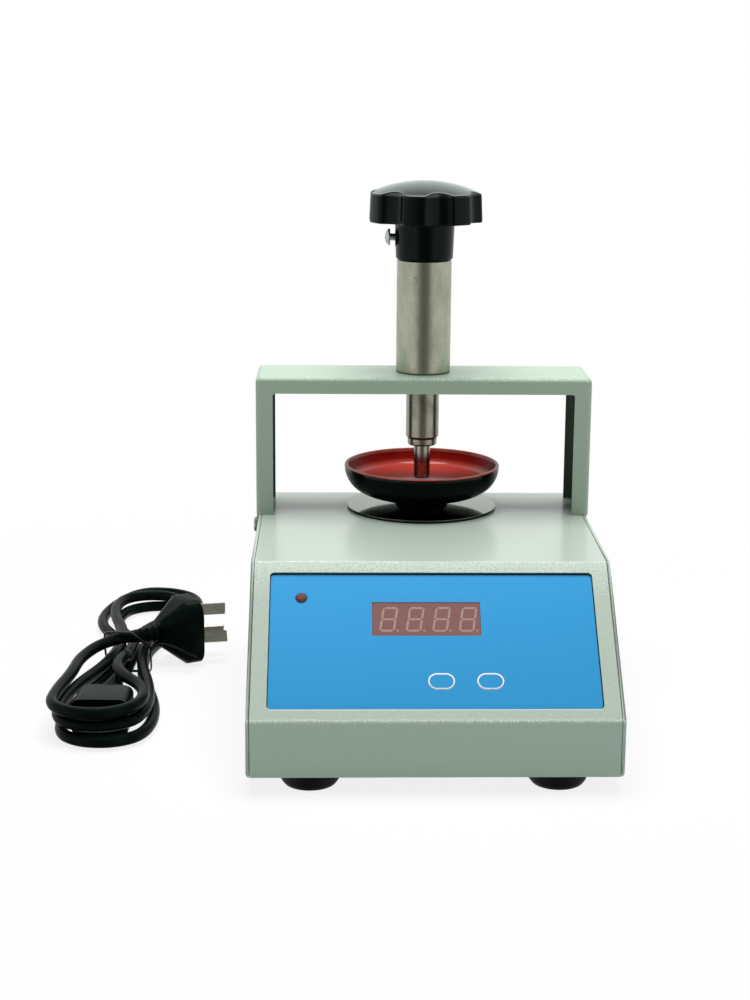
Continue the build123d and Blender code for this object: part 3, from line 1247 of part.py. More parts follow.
plug_front = plug_start.offset(PLUG_RELIEF_L + PLUG_L).rotated((0, 0, PIN_ROLL))
with BuildPart() as plug_pins:
    with BuildSketch(plug_front.offset(-BLADE_IN)):
        with Locations(Location((0, -EARTH_DROP)), Location((-LIVE_X, LIVE_Y), LIVE_LEAN),
                       Location((LIVE_X, LIVE_Y), -LIVE_LEAN)):
            Rectangle(BLADE_W, BLADE_H)
    extrude(amount=BLADE_IN + BLADE_L)
    tips = plug_pins.faces().sort_by(lambda f: (f.center() - plug_start.origin).length)[-3:]
    chamfer(tips.edges(), BLADE_EDGE)
finish(plug_pins, "plug_pins")

with BuildPart() as plug_body:
    with BuildSketch(plug_start.offset(PLUG_RELIEF_L)):
        RectangleRounded(PLUG_NECK_W, PLUG_NECK_H, PLUG_NECK_R)
    with BuildSketch(plug_start.offset(PLUG_RELIEF_L + PLUG_L - PLUG_RIM)):
        RectangleRounded(PLUG_W, PLUG_H, PLUG_R)
    loft()
    with BuildSketch(plug_start.offset(PLUG_RELIEF_L + PLUG_L - PLUG_RIM)):
        RectangleRounded(PLUG_W, PLUG_H, PLUG_R)
    extrude(amount=PLUG_RIM)
    add(plug_pins.part, mode=Mode.SUBTRACT)
finish(plug_body, "plug_body")

# Twist tie round the waist, its two tails on the right
tie_face = Plane(origin=laid(0, TIE_Y, 0), x_dir=heading(1, 0), z_dir=heading(0, -1))
with BuildPart() as twist_tie:
    with BuildSketch(tie_face):
        with BuildLine() as tie_inside:
            FilletPolyline((-11.6, 0.85), (11.6, 0.85), (11.6, 14), (1, 22.4), (-13, 22.4), (-13, 14),
                           radius=TIE_R, close=True)
        make_face()
        offset(amount=TIE_T)
        make_face(tie_inside.edges(), mode=Mode.SUBTRACT)
    extrude(amount=TIE_W)
    with BuildSketch(tie_face.offset(TIE_W / 2)):
        with BuildLine() as upper_tail:
            Spline((11.6 + TIE_T / 2, 12), (15, 15.5), (26, 14), (37, 9))
        trace(lines=upper_tail.edges(), line_width=TIE_T)
    extrude(amount=TIE_W / 2, both=True)
finish(twist_tie, "twist_tie")
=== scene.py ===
"""Bench particle strength tester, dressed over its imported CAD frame.

Shapes are worked out in millimetres in the frame's own axes, +X right, +Y back and +Z up with the
bench at zero, and are brought to metres when a mesh is written.
"""

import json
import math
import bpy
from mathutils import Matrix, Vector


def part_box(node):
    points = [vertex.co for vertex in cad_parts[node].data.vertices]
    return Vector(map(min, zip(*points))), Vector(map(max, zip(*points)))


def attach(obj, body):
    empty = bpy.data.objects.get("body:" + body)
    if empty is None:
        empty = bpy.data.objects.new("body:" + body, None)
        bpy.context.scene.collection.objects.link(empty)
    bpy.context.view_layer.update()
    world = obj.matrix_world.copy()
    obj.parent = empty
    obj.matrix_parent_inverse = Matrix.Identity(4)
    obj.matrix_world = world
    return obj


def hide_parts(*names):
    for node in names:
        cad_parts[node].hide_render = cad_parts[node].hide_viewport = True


bl_info = {
    "name": "Particle strength tester",
    "version": (1, 0, 0),
    "blender": (4, 5, 0),
    "location": "View3D > Sidebar > Tester",
    "description": "Dresses the frame of a bench particle strength tester and its mains lead",
    "category": "Object",
}

import bmesh
import bpy
import numpy as np
from mathutils import Matrix, Vector

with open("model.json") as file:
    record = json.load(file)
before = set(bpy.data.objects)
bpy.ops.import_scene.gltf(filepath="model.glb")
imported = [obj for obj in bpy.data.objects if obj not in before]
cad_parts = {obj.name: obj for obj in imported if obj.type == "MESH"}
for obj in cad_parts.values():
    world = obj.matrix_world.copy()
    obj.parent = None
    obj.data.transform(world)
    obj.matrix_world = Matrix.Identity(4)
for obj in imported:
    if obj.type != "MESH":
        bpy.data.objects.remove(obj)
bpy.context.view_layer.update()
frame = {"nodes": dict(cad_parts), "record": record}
MM = 0.001
BODY_OF = {
    node: body
    for body, nodes in frame["record"]["behaviour"]["bodies"].items()
    for node in nodes
}


def cad_box(node):
    """Lowest and highest corner of a CAD node, in millimetres."""
    low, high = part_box(node)
    return np.array(low) / MM, np.array(high) / MM


def middle_of(node):
    """Middle of a CAD node, in millimetres."""
    low, high = cad_box(node)
    return (low + high) / 2


def heights_of(node):
    """Lowest and highest z of a CAD node, in millimetres."""
    low, high = cad_box(node)
    return float(low[2]), float(high[2])


# Places that the frame gives, in millimetres
GANTRY_LOW, GANTRY_HIGH = cad_box("gantry_frame")
BEAM_TOP = float(GANTRY_HIGH[2])
FRONT = float(cad_box("top_cover")[0][1])
TOP = heights_of("top_cover")[1]  # flat top of the housing
AXIS_Y = float(middle_of("guide_tube")[1])
AXIS_FOOT = (0.0, AXIS_Y, 0.0)  # where the screw's axis meets the bench

# Sizes of the housing, in millimetres
LIP = 35.2  # top of the front lip
SHEET = 1.5  # thickness of the folded sheet
SLOPE_DEEP = 70.6  # from the lip back to the flat top
SLOPE = math.atan2(TOP - LIP, SLOPE_DEEP)
OPENING_HALF = 78.5  # half the width of the panel's opening
OPENING_LOW, OPENING_HIGH = 6.8, 84.4  # its lower and upper edge, up the slope


def up_slope(y, z):
    """How far up the slope a point is from the lip, in millimetres."""
    return (y - FRONT) * math.cos(SLOPE) + (z - LIP) * math.sin(SLOPE)


KEY_ROW = float(up_slope(*middle_of("peak_key")[1:]))
KEY_COLUMNS = tuple(float(middle_of(key)[0]) for key in ("peak_key", "zero_key"))
KEY_HALF_WIDE, KEY_HALF_HIGH = 6.45, 4.5
LAMP_ROW = float(up_slope(*middle_of("indicator_led")[1:]))
LAMP_COLUMN = float(middle_of("indicator_led")[0])
LAMP_RING = 3.0  # radius of the dark ring round the lamp


# Colours


def srgb(red, green, blue):
    """Linear colour of an 8-bit one: c / 12.92 below 0.04045, else ((c + 0.055) / 1.055) ** 2.4."""
    c = np.array([red, green, blue]) / 255.0
    linear = np.where(c <= 0.04045, c / 12.92, ((c + 0.055) / 1.055) ** 2.4)
    return tuple(float(v) for v in linear)


def scaled(colour, *factors):
    """Colour times one factor, or times one for each channel, up to 1."""
    each = factors * 3 if len(factors) == 1 else factors
    return tuple(min(1.0, c * k) for c, k in zip(colour, each))


class TesterColours(bpy.types.PropertyGroup):
    """Colours that a user would change."""

    housing: bpy.props.FloatVectorProperty(
        name="Housing", description="Powder coat of housing and gantry", subtype="COLOR",
        size=3, min=0, max=1, default=srgb(188, 202, 190))
    panel: bpy.props.FloatVectorProperty(
        name="Panel", description="Printed panel film", subtype="COLOR",
        size=3, min=0, max=1, default=srgb(60, 158, 216))
    dish_inside: bpy.props.FloatVectorProperty(
        name="Dish inside", description="Enamel inside the dish", subtype="COLOR",
        size=3, min=0, max=1, default=srgb(158, 26, 20))
    sheath: bpy.props.FloatVectorProperty(
        name="Lead", description="Sheath of the mains lead", subtype="COLOR",
        size=3, min=0, max=1, default=srgb(8, 16, 13))


class TesterSizes(bpy.types.PropertyGroup):
    """Sizes that a user would change."""

    grain: bpy.props.FloatProperty(
        name="Coat grain", description="Size of the powder coat's grain, in millimetres",
        default=1.1, min=0.3, max=4.0)
    outline: bpy.props.FloatProperty(
        name="Key outline", description="Width of the printed line round a key, in millimetres",
        default=0.8, min=0.2, max=2.0)
    cord_diameter: bpy.props.FloatProperty(
        name="Lead diameter", description="Diameter of the mains lead", default=0.0062,
        min=0.004, max=0.01, subtype="DISTANCE", unit="LENGTH")
    lamp: bpy.props.FloatProperty(
        name="Lamp", description="Power of the overhead lamp in watts", default=19.2,
        min=0.0, max=500.0, unit="POWER")


# Surfaces


def placed(name, data):
    """Object of a mesh, a curve, a lens or a light, linked to the scene."""
    made = bpy.data.objects.new(name, data)
    bpy.context.scene.collection.objects.link(made)
    return made


def put(name, points, faces, material, body, sharp=32.0, slots=None):
    """Mesh object of points in millimetres and faces given as index arrays of one or more widths.
    Its faces point outwards: where the sum of a . (b x c) over the faces' triangles is negative,
    all faces are turned round. Edges sharper than the angle stay sharp. Where there are several
    materials, slots gives each face's one."""
    verts = np.asarray(points, float) * MM
    groups = [np.asarray(f, int) for f in faces if len(f)]
    centred = verts - verts.mean(0)
    volume = 0.0
    for group in groups:
        for k in range(1, group.shape[1] - 1):
            a, b, c = centred[group[:, 0]], centred[group[:, k]], centred[group[:, k + 1]]
            volume += float((a * np.cross(b, c)).sum())
    if volume < 0:
        groups = [group[:, ::-1] for group in groups]
    mesh = bpy.data.meshes.new(name)
    mesh.from_pydata(verts.tolist(), [], [row for group in groups for row in group.tolist()])
    if slots is not None:
        mesh.polygons.foreach_set("material_index", np.concatenate(slots).astype(np.int32))
    mesh.validate()
    mesh.shade_smooth()
    mesh.set_sharp_from_angle(angle=math.radians(sharp))
    for each in material if isinstance(material, (list, tuple)) else [material]:
        mesh.materials.append(each)
    piece = placed(name, mesh)
    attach(piece, body)
    return piece


def skin(grid):
    """Vertices and faces of a closed grid: rows along the piece, columns round it, each row closed
    on itself. The first and the last row are poles, one point each with triangles beside it."""
    rows, columns = grid.shape[:2]
    body = grid[1:-1].reshape(-1, 3)
    index = np.arange(len(body)).reshape(rows - 2, columns)
    beside = np.roll(index, -1, axis=1)
    quads = np.stack([index[:-1], beside[:-1], beside[1:], index[1:]], axis=-1).reshape(-1, 4)
    first, last = np.full(columns, len(body)), np.full(columns, len(body) + 1)
    faces = [
        quads,
        np.stack([first, beside[0], index[0]], axis=-1),
        np.stack([last, index[-1], beside[-1]], axis=-1),
    ]
    return np.concatenate([body, grid[0, :1], grid[-1, :1]]), faces


def rounded(corners, radii, steps=7):
    """Profile of straight stretches whose corners are arcs. At a corner p between directions u and
    v of half angle h, the arc of radius r starts r / tan(h) before p, and its points are
    centre + r (cos t, sin t) from the one tangent point to the other."""
    corners = np.asarray(corners, float)
    line = [corners[:1]]
    for before, p, after, r in zip(corners, corners[1:], corners[2:], radii):
        u, v = before - p, after - p
        lu, lv = np.hypot(*u), np.hypot(*v)
        u, v = u / lu, v / lv
        half = math.acos(float(np.clip(u @ v, -1, 1))) / 2
        if r <= 0 or abs(half - math.pi / 2) < 1e-4:
            line.append(p[None])
            continue
        back = min(r / math.tan(half), 0.499 * lu, 0.499 * lv)
        r = back * math.tan(half)
        middle = p + (u + v) / np.hypot(*(u + v)) * (r / math.sin(half))
        a, b = p + u * back - middle, p + v * back - middle
        start = math.atan2(a[1], a[0])
        turn = (math.atan2(b[1], b[0]) - start + math.pi) % (2 * math.pi) - math.pi
        t = start + turn * np.linspace(0, 1, steps)
        line.append(middle + r * np.stack([np.cos(t), np.sin(t)], axis=-1))
    line.append(corners[-1:])
    return np.concatenate(line)


def axes_of(along, across=(1.0, 0.0, 0.0)):
    """Three unit vectors: across made square to along, along x across, and along."""
    along = np.asarray(along, float) / np.linalg.norm(along)
    across = np.asarray(across, float) - along * (np.asarray(across, float) @ along)
    across /= np.linalg.norm(across)
    return across, np.cross(along, across), along


def grid_round(profile, origin, along, sides, across):
    """Grid of a surface of revolution: the point for profile point (r, h) and angle a is
    origin + r cos(a) across + r sin(a) other + h along."""
    u, v, w = axes_of(along, across)
    a = np.linspace(0, 2 * math.pi, sides, endpoint=False)
    r, h = profile[:, :1], profile[:, 1:]
    return (
        np.asarray(origin, float)
        + (r * np.cos(a))[..., None] * u
        + (r * np.sin(a))[..., None] * v
        + (h * np.ones_like(a))[..., None] * w
    )


def turned(profile, origin, along=(0, 0, 1), sides=96, across=(1.0, 0.0, 0.0)):
    """Surface of revolution of a profile that starts and ends on the axis."""
    return skin(grid_round(profile, origin, along, sides, across))


def ring_turned(profile, origin, along=(0, 0, 1), sides=96, across=(1.0, 0.0, 0.0)):
    """Surface of revolution of a closed profile that stays clear of the axis: a ring or a tube."""
    grid = grid_round(profile, origin, along, sides, across)
    rows, columns = grid.shape[:2]
    index = np.arange(rows * columns).reshape(rows, columns)
    right, up = np.roll(index, -1, axis=1), np.roll(index, -1, axis=0)
    quads = np.stack([index, right, np.roll(up, -1, axis=1), up], axis=-1).reshape(-1, 4)
    return grid.reshape(-1, 3), [quads]


def stands_for(piece, node):
    """The piece is shown in the CAD node's place, which is hidden."""
    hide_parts(node)
    return piece


def replaced(node, name, shape, material, **more):
    """Puts a shape, given as points and faces, in a CAD node's place and on the node's body."""
    return stands_for(put(name, *shape, material, BODY_OF[node], **more), node)


def merged(node, material, sharp=30.0):
    """A copy of a CAD node with its loose triangles merged, shaded smooth across edges flatter than
    the angle. It stands for the node and rides where the node does."""
    mesh = frame["nodes"][node].data.copy()
    mesh.name = node + "_skin"
    work = bmesh.new()
    work.from_mesh(mesh)
    bmesh.ops.remove_doubles(work, verts=work.verts, dist=2e-6)
    bmesh.ops.dissolve_limit(
        work, angle_limit=math.radians(0.4), verts=work.verts, edges=work.edges)
    bmesh.ops.triangulate(work, faces=work.faces)
    work.to_mesh(mesh)
    work.free()
    mesh.materials.clear()
    mesh.materials.append(material)
    mesh.shade_smooth()
    mesh.set_sharp_from_angle(angle=math.radians(sharp))
    piece = placed(node + "_skin", mesh)
    weighted = piece.modifiers.new("flat_faces_stay_flat", "WEIGHTED_NORMAL")
    weighted.keep_sharp = True
    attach(piece, BODY_OF[node])
    return stands_for(piece, node)


def dress(node, material):
    """Gives a CAD node that stays as it is a better material."""
    for each in frame["nodes"][node].material_slots:
        each.material = material


# Shaders

# green-black light that the black plastics and the enamel throw back
DARK_SHEEN = (0.72, 1.0, 0.86, 1.0)


class Value:
    """A shader socket of numbers with Python's operators, each of which adds its Math node."""

    def __init__(self, shader, socket):
        self.shader, self.socket = shader, socket

    def math(self, operation, *others, clamp=False):
        """The Math node of this value and the others."""
        inputs = dict(enumerate([self, *others]))
        return self.shader.node(
            "ShaderNodeMath", {"operation": operation, "use_clamp": clamp}, inputs).value("Value")

    def __add__(self, other):
        return self.math("ADD", other)

    def __mul__(self, other):
        return self.math("MULTIPLY", other)

    def __sub__(self, other):
        return self.math("SUBTRACT", other)

    def __rsub__(self, other):
        return self.math("MULTIPLY", -1.0).math("ADD", other)

    def __abs__(self):
        return self.math("ABSOLUTE")

    __radd__ = __add__
    __rmul__ = __mul__

    def below(self, edge, soft):
        """1 well below the edge and 0 well above it, with a straight ramp soft wide between."""
        return ((self - edge) * (-1.0 / soft)).math("ADD", 0.5, clamp=True)

    def above(self, edge, soft):
        """1 well above the edge and 0 well below it."""
        return ((self - edge) * (1.0 / soft)).math("ADD", 0.5, clamp=True)


class Made:
    """A node that was added, whose outputs are asked for by name."""

    def __init__(self, shader, node):
        self.shader, self.made = shader, node

    def value(self, output):
        """An output as numbers."""
        return Value(self.shader, self.made.outputs[output])

    def __getitem__(self, output):
        return self.made.outputs[output]


class Shader:
    """A material's or the world's node tree."""

    def __init__(self, name, world=False):
        store = bpy.data.worlds if world else bpy.data.materials
        self.data = store.new(name)
        self.data.use_nodes = True
        self.tree = self.data.node_tree
        self.tree.nodes.clear()
        kind = "ShaderNodeOutputWorld" if world else "ShaderNodeOutputMaterial"
        self.output = self.tree.nodes.new(kind)

    def node(self, kind, settings=None, inputs=None):
        """Adds a node: its settings first, then each input's value or link."""
        node = self.tree.nodes.new(kind)
        for key, setting in (settings or {}).items():
            setattr(node, key, setting)
        for key, given in (inputs or {}).items():
            socket = node.inputs[key]
            if isinstance(given, Value):
                self.tree.links.new(given.socket, socket)
            elif isinstance(given, bpy.types.NodeSocket):
                self.tree.links.new(given, socket)
            else:
                if isinstance(given, tuple) and socket.type == "RGBA" and len(given) == 3:
                    given = (*given, 1.0)
                socket.default_value = given
        return Made(self, node)

    def place(self):
        """x, y and z of the point in millimetres, from Object coordinates."""
        here = self.node("ShaderNodeTexCoord")["Object"]
        parts = self.node("ShaderNodeSeparateXYZ", None, {0: here})
        return [parts.value(name) * (1 / MM) for name in "XYZ"]

    def noise(self, size, detail=3.0, stretch=(1.0, 1.0, 1.0), rough=0.5, turn=(0.0, 0.0, 0.0)):
        """Noise whose cells are about size millimetres, drawn out along an axis of low stretch."""
        here = self.node("ShaderNodeTexCoord")["Object"]
        scale = tuple(s / (size * MM) for s in stretch)
        moved = self.node(
            "ShaderNodeMapping", None, {"Vector": here, "Scale": scale, "Rotation": turn})
        return self.node(
            "ShaderNodeTexNoise", None,
            {"Vector": moved["Vector"], "Scale": 1.0, "Detail": detail, "Roughness": rough},
        ).value(0)

    def mix(self, factor, first, second):
        """Colour between two, by factor."""
        return self.node(
            "ShaderNodeMix", {"data_type": "RGBA"}, {0: factor, 6: first, 7: second})[2]

    def blend(self, factor, first, second):
        """Number between two, by factor."""
        return self.node(
            "ShaderNodeMix", {"data_type": "FLOAT"}, {0: factor, 2: first, 3: second}).value(0)

    def bump(self, height, distance):
        """Normal of a height of 0 to 1 that stands for distance millimetres."""
        return self.node(
            "ShaderNodeBump", None,
            {"Height": height, "Distance": distance * MM, "Strength": 1.0})["Normal"]

    def finish(self, **inputs):
        """Ends the tree in a Principled surface. An underscore in a name stands for a space."""
        surface = self.node(
            "ShaderNodeBsdfPrincipled", None, {k.replace("_", " "): v for k, v in inputs.items()})
        self.tree.links.new(surface["BSDF"], self.output.inputs["Surface"])
        return self.data


def hypot(u, v):
    """Length of (u, v), both numbers of a shader."""
    return (u * u + v * v).math("SQRT")


def powder_coat(colour, grain):
    """Light grey-green powder coat. Its grain shows on the slope and the bends, the flat top is
    smoother and glossier, and a slow cloud keeps it from one flat colour. The upper slope is
    painted lighter and the front lip greener as the light falls, and a painted highlight runs
    along the bends, with pale glints, and along the lower edge of the panel's opening. Inside the
    gantry's channel and on the opening's cut edge the coat is painted near black as shade."""
    s = Shader("powder_coat")
    x, y, z = s.place()
    up = up_slope(y, z)
    proud = (z - LIP) * math.cos(SLOPE) - (y - FRONT) * math.sin(SLOPE)
    # where the coat differs, and where light and shade are painted
    inner = [float(v) - SHEET + 0.3 for v in (GANTRY_HIGH - GANTRY_LOW) / 2]
    # inside the gantry's channel, painted near black as shade below
    channel = abs(y - AXIS_Y).below(inner[1], 0.2) * abs(x).below(inner[0], 0.2)
    channel = channel * z.above(TOP + 0.4, 0.2) * z.below(BEAM_TOP - SHEET + 0.3, 0.2)
    on_top = z.above(TOP - 1.6, 0.8)
    gantry = z.above(TOP + 0.5, 0.3)
    band = z.above(LIP - 1.0, 1.0) * z.below(TOP - 0.6, 0.8)
    band = band * y.below(FRONT + SLOPE_DEEP + 1.0, 1.0)
    rise = ((z - TOP) * (1.0 / 14.0) + 1.0).math("MAXIMUM", 0.0) * band
    lip = z.below(LIP - 0.6, 0.8) * y.below(FRONT + 2.0, 0.5)
    # bends of the sheet, where a painted highlight line and pale glints go
    lip_bend = abs(z - LIP).below(0.9, 0.7) * y.below(FRONT + 1.2, 0.8)
    top_bend = abs(y - FRONT - SLOPE_DEEP).below(1.0, 0.9) * z.above(TOP - 1.2, 0.8)
    beam_bend = abs(z - BEAM_TOP + 1.0).below(0.8, 0.6) * (y - AXIS_Y).below(-inner[1], 0.6)
    painted_bend_highlight = lip_bend.math("MAXIMUM", top_bend).math("MAXIMUM", beam_bend)
    # the opening's cut edge, painted dark as shade below
    cut = proud.below(-0.25, 0.2) * band * z.above(LIP + 2.0, 0.5)
    cut = cut * abs(x).below(OPENING_HALF + 1.5, 0.4)
    # painted highlight along the lower edge of the panel's opening
    opening_edge_highlight = abs(up - OPENING_LOW + 0.3).below(0.3, 0.2) * proud.above(-0.3, 0.2) * band
    opening_edge_highlight = opening_edge_highlight * abs(x).below(OPENING_HALF - 1.0, 1.0)
    # grain, cloud and specks
    fine = s.noise(grain, 2.0, rough=0.6)
    coarse = s.noise(grain * 2.6, 1.0)
    height = (fine * 0.7 + coarse * 0.3) * (1.0 - on_top * 0.82)
    cloud = s.noise(60, 2.0) - 0.5
    speck = s.noise(0.85, 2.0)
    # the pale specks are grain on the slope, and painted glints on the bends
    pale_speck = speck.above(0.57, 0.10) * (band * 0.12 + rise * 0.42 + painted_bend_highlight * 0.80)
    dark_speck = speck.below(0.42, 0.10) * (band * 0.10 + rise * 0.22 + 0.03)
    tint = s.mix(cloud * 0.10 + 0.5, scaled(colour, 0.965), scaled(colour, 1.03))
    # painted light: the slope is painted lighter towards its top
    tint = s.mix(rise * 0.8, tint, scaled(colour, 1.3))
    # painted light: the front lip is tinted greener and a little lighter
    tint = s.mix(lip, tint, scaled(colour, 0.97, 1.09, 1.04))
    tint = s.mix(gantry, tint, scaled(colour, 0.90, 0.99, 0.90))
    # painted highlight along the bends and the opening's lower edge, with the pale specks
    tint = s.mix(pale_speck + painted_bend_highlight * 0.25 + opening_edge_highlight * 0.8, tint, scaled(colour, 1.45))
    tint = s.mix(dark_speck, tint, scaled(colour, 0.5))
    # painted shade: inside the gantry's channel and on the opening's cut edge the coat is painted
    # near black
    tint = s.mix((channel + cut) * 0.92, tint, scaled(colour, 0.05, 0.08, 0.06))
    return s.finish(
        Base_Color=tint, Roughness=0.46 - on_top * 0.12 + cloud * 0.06, Specular_IOR_Level=0.35,
        Coat_Weight=on_top * z.below(TOP + 0.6, 0.3) * 0.45, Coat_Roughness=0.13, Coat_IOR=1.4,
        Normal=s.bump(height, 0.085))


def bare_plate(name, colour, rough, grain=(1.0, 1.0, 1.0)):
    """Rolled, ground or plated metal. Where the grain is given, its fine lines run along the axis
    of the grain's low number."""
    s = Shader(name)
    lines = s.noise(3.0, 3.0, stretch=grain)
    return s.finish(
        Base_Color=s.mix(lines, scaled(colour, 0.8), scaled(colour, 1.15)), Metallic=1.0,
        Roughness=lines * 0.2 + (rough - 0.1), Normal=s.bump(lines, 0.006))


def turned_metal(name, colour, rough, stain=0.15):
    """Lathe-turned metal: fine rings round the vertical axis, and slow stains."""
    s = Shader(name)
    rings = s.noise(0.35, 2.0, stretch=(0.03, 0.03, 1.0))
    stains = s.noise(9.0, 4.0, stretch=(1.0, 1.0, 0.55), rough=0.62)
    tone = s.mix(stains.above(0.56, 0.25) * stain * 3.0, colour, scaled(colour, 0.62))
    tone = s.mix(rings * 0.25, tone, scaled(colour, 0.8))
    return s.finish(
        Base_Color=tone, Metallic=1.0, Roughness=stains * 0.18 + rings * 0.10 + (rough - 0.14),
        Normal=s.bump(rings, 0.004))


def tube_metal():
    """Drawn stainless tube: greyish yellow, blotchy, with small rust specks, a few draw lines along
    it and a painted shadow line where it stands on the beam."""
    s = Shader("tube_metal")
    z = s.place()[2]
    blotch = s.noise(7.0, 5.0, stretch=(1.0, 1.0, 0.45), rough=0.65)
    speck = s.noise(1.7, 3.0, stretch=(1.0, 1.0, 0.6), rough=0.6).above(0.69, 0.05)
    lines = s.noise(0.8, 2.0, stretch=(1.0, 1.0, 0.02))
    tone = s.mix(blotch.above(0.55, 0.3) * 0.45, srgb(176, 178, 160), srgb(128, 130, 112))
    tone = s.mix(lines.below(0.46, 0.16) * 0.10, tone, srgb(104, 108, 92))
    # rust specks, and a painted shadow line where the tube stands on the beam
    tone = s.mix(speck * 0.6 + z.below(BEAM_TOP + 0.9, 0.4) * 0.8, tone, srgb(74, 70, 56))
    return s.finish(
        Base_Color=tone, Metallic=1.0, Roughness=blotch * 0.22 + lines * 0.08 + 0.17,
        Normal=s.bump(lines * 0.6 + blotch * 0.4, 0.008))


def polished_disc(top):
    """Polished load disc with faint turning rings and fine wipe marks. Below its top, which is at a
    height in millimetres, its edge is painted dark as shade."""
    s = Shader("polished_disc")
    x, y, z = s.place()
    rings = (hypot(x, y - AXIS_Y) * 6.0).math("SINE") * 0.5 + 0.5
    wipes = s.noise(14.0, 4.0, stretch=(1.0, 0.25, 1.0), turn=(0.0, 0.0, 0.5))
    tone = s.mix(wipes, srgb(128, 142, 128), srgb(150, 164, 150))
    return s.finish(
        # painted shade on the disc's edge below its top
        Base_Color=s.mix(z.below(top - 0.12, 0.08), tone, srgb(44, 54, 47)), Metallic=1.0,
        Roughness=wipes.above(0.55, 0.3) * 0.05 + rings * 0.02 + 0.035,
        Normal=s.bump(rings, 0.0006))


def phenolic(crown):
    """Black moulded phenolic with faint flow marks and hairline scuffs, polished above the height
    crown in millimetres."""
    s = Shader("phenolic")
    flow = s.noise(11.0, 3.0, stretch=(1.0, 1.0, 0.5))
    scuff = s.noise(2.2, 4.0, stretch=(1.0, 0.15, 1.0), turn=(0.3, 0.2, 0.7)).above(0.62, 0.08)
    return s.finish(
        Base_Color=s.mix(flow, srgb(2, 6, 4), srgb(5, 10, 8)),
        Roughness=flow * 0.08 + scuff * 0.14 + 0.08, Specular_IOR_Level=0.14,
        Specular_Tint=DARK_SHEEN, Coat_Weight=s.place()[2].above(crown, 1.2),
        Coat_Roughness=0.06, Coat_IOR=1.75, Coat_Tint=DARK_SHEEN, Normal=s.bump(flow, 0.02))


def lining(colour, floor):
    """Red enamel inside the dish, glossy on the dish's floor, which is at a height in millimetres.
    The floor is painted paler as lit, and the walls are painted darker as shaded."""
    s = Shader("dish_lining")
    wave = s.noise(8.0, 2.0)
    low = s.place()[2].below(floor + 2.4, 3.0)
    # painted shade: the walls are darker than the given red
    shaded_wall = s.mix(wave.above(0.5, 0.5), scaled(colour, 0.80), scaled(colour, 0.62))
    return s.finish(
        # painted light: the floor is painted a paler orange-red
        Base_Color=s.mix(low * 0.85, shaded_wall, scaled(colour, 1.9, 6.5, 6.5)),
        Roughness=wave * 0.08 + 0.34, Specular_IOR_Level=0.08, Coat_Weight=low * 0.8,
        Coat_Roughness=0.09, Normal=s.bump(wave, 0.03))


def enamel(name, first, second, rough, shine, rim):
    """Sprayed enamel with a slow wave and a few dull patches, glossier from 2 mm below the rim."""
    s = Shader(name)
    wave = s.noise(8.0, 2.0)
    dull = s.noise(16.0, 4.0).above(0.58, 0.2)
    return s.finish(
        Base_Color=s.mix(wave.above(0.5, 0.5), first, second),
        Roughness=wave * 0.08 + dull * 0.16 + rough, Specular_IOR_Level=shine,
        Coat_Weight=s.place()[2].above(rim - 2.0, 1.0) * 0.35, Coat_Roughness=0.1,
        Specular_Tint=DARK_SHEEN, Normal=s.bump(wave, 0.03))


def film(name, colour, outline):
    """Printed polycarbonate film. Up the slope it pales a little, and a white line follows each
    key: with u and v from the key's centre the line is where the distance to the key's middle
    segment, hypot(max(|u| - a, 0), v), is just under its half height. It is dark round the lamp,
    and along its upper and side edges it is painted dark as the shadow of the opening's edge."""
    s = Shader(name)
    x, y, z = s.place()
    up = up_slope(y, z)
    rings = []
    for column in KEY_COLUMNS:
        u = (abs(x - column) - (KEY_HALF_WIDE - KEY_HALF_HIGH)).math("MAXIMUM", 0.0)
        away = hypot(u, up - KEY_ROW) - (KEY_HALF_HIGH - outline / 2)
        rings.append(abs(away).below(outline / 2, 0.16))
    hole = hypot(x - LAMP_COLUMN, up - LAMP_ROW).below(LAMP_RING, 0.4)
    # painted shadow of the opening's edge along the film's upper and side edges
    edge = abs(x).above(OPENING_HALF - 0.5, 0.3).math("MAXIMUM", up.above(OPENING_HIGH - 0.7, 0.4))
    print_grain = s.noise(0.35, 1.0)
    pale = tuple(min(1.0, 1.10 * c + 0.012) for c in colour)
    tone = s.mix((up - 10.0) * (0.9 / 76.0) + (-24.0 - x) * 0.003, colour, pale)
    tone = s.mix(rings[0].math("MAXIMUM", rings[1]), tone, srgb(250, 252, 255))
    # dark round the lamp, and the painted shadow along the edges
    tone = s.mix(hole.math("MAXIMUM", edge) * 0.75, tone, srgb(14, 48, 74))
    return s.finish(
        Base_Color=tone, Roughness=print_grain * 0.08 + 0.42, Specular_IOR_Level=0.12,
        Normal=s.bump(print_grain, 0.006))


def smoky_filter(name, colour, alpha):
    """Tinted filter that shows what is just behind it."""
    s = Shader(name)
    haze = s.noise(5.0, 2.0)
    return s.finish(
        Base_Color=s.mix(haze, colour, scaled(colour, 1.12)), Roughness=haze * 0.08 + 0.30,
        Alpha=haze * 0.05 + alpha, Specular_IOR_Level=0.2)


def moulded(name, colour, rough, grain, depth):
    """Moulded plastic or rubber: a fine grain, and rubbed places that are paler."""
    s = Shader(name)
    fine = s.noise(grain, 2.0)
    rubbed = s.noise(10.0, 4.0).above(0.56, 0.2)
    return s.finish(
        Base_Color=s.mix(rubbed * 0.5, colour, scaled(colour, 1.6)),
        Roughness=fine * 0.12 + rubbed * 0.08 + (rough - 0.1), Specular_IOR_Level=0.25,
        Normal=s.bump(fine, depth))


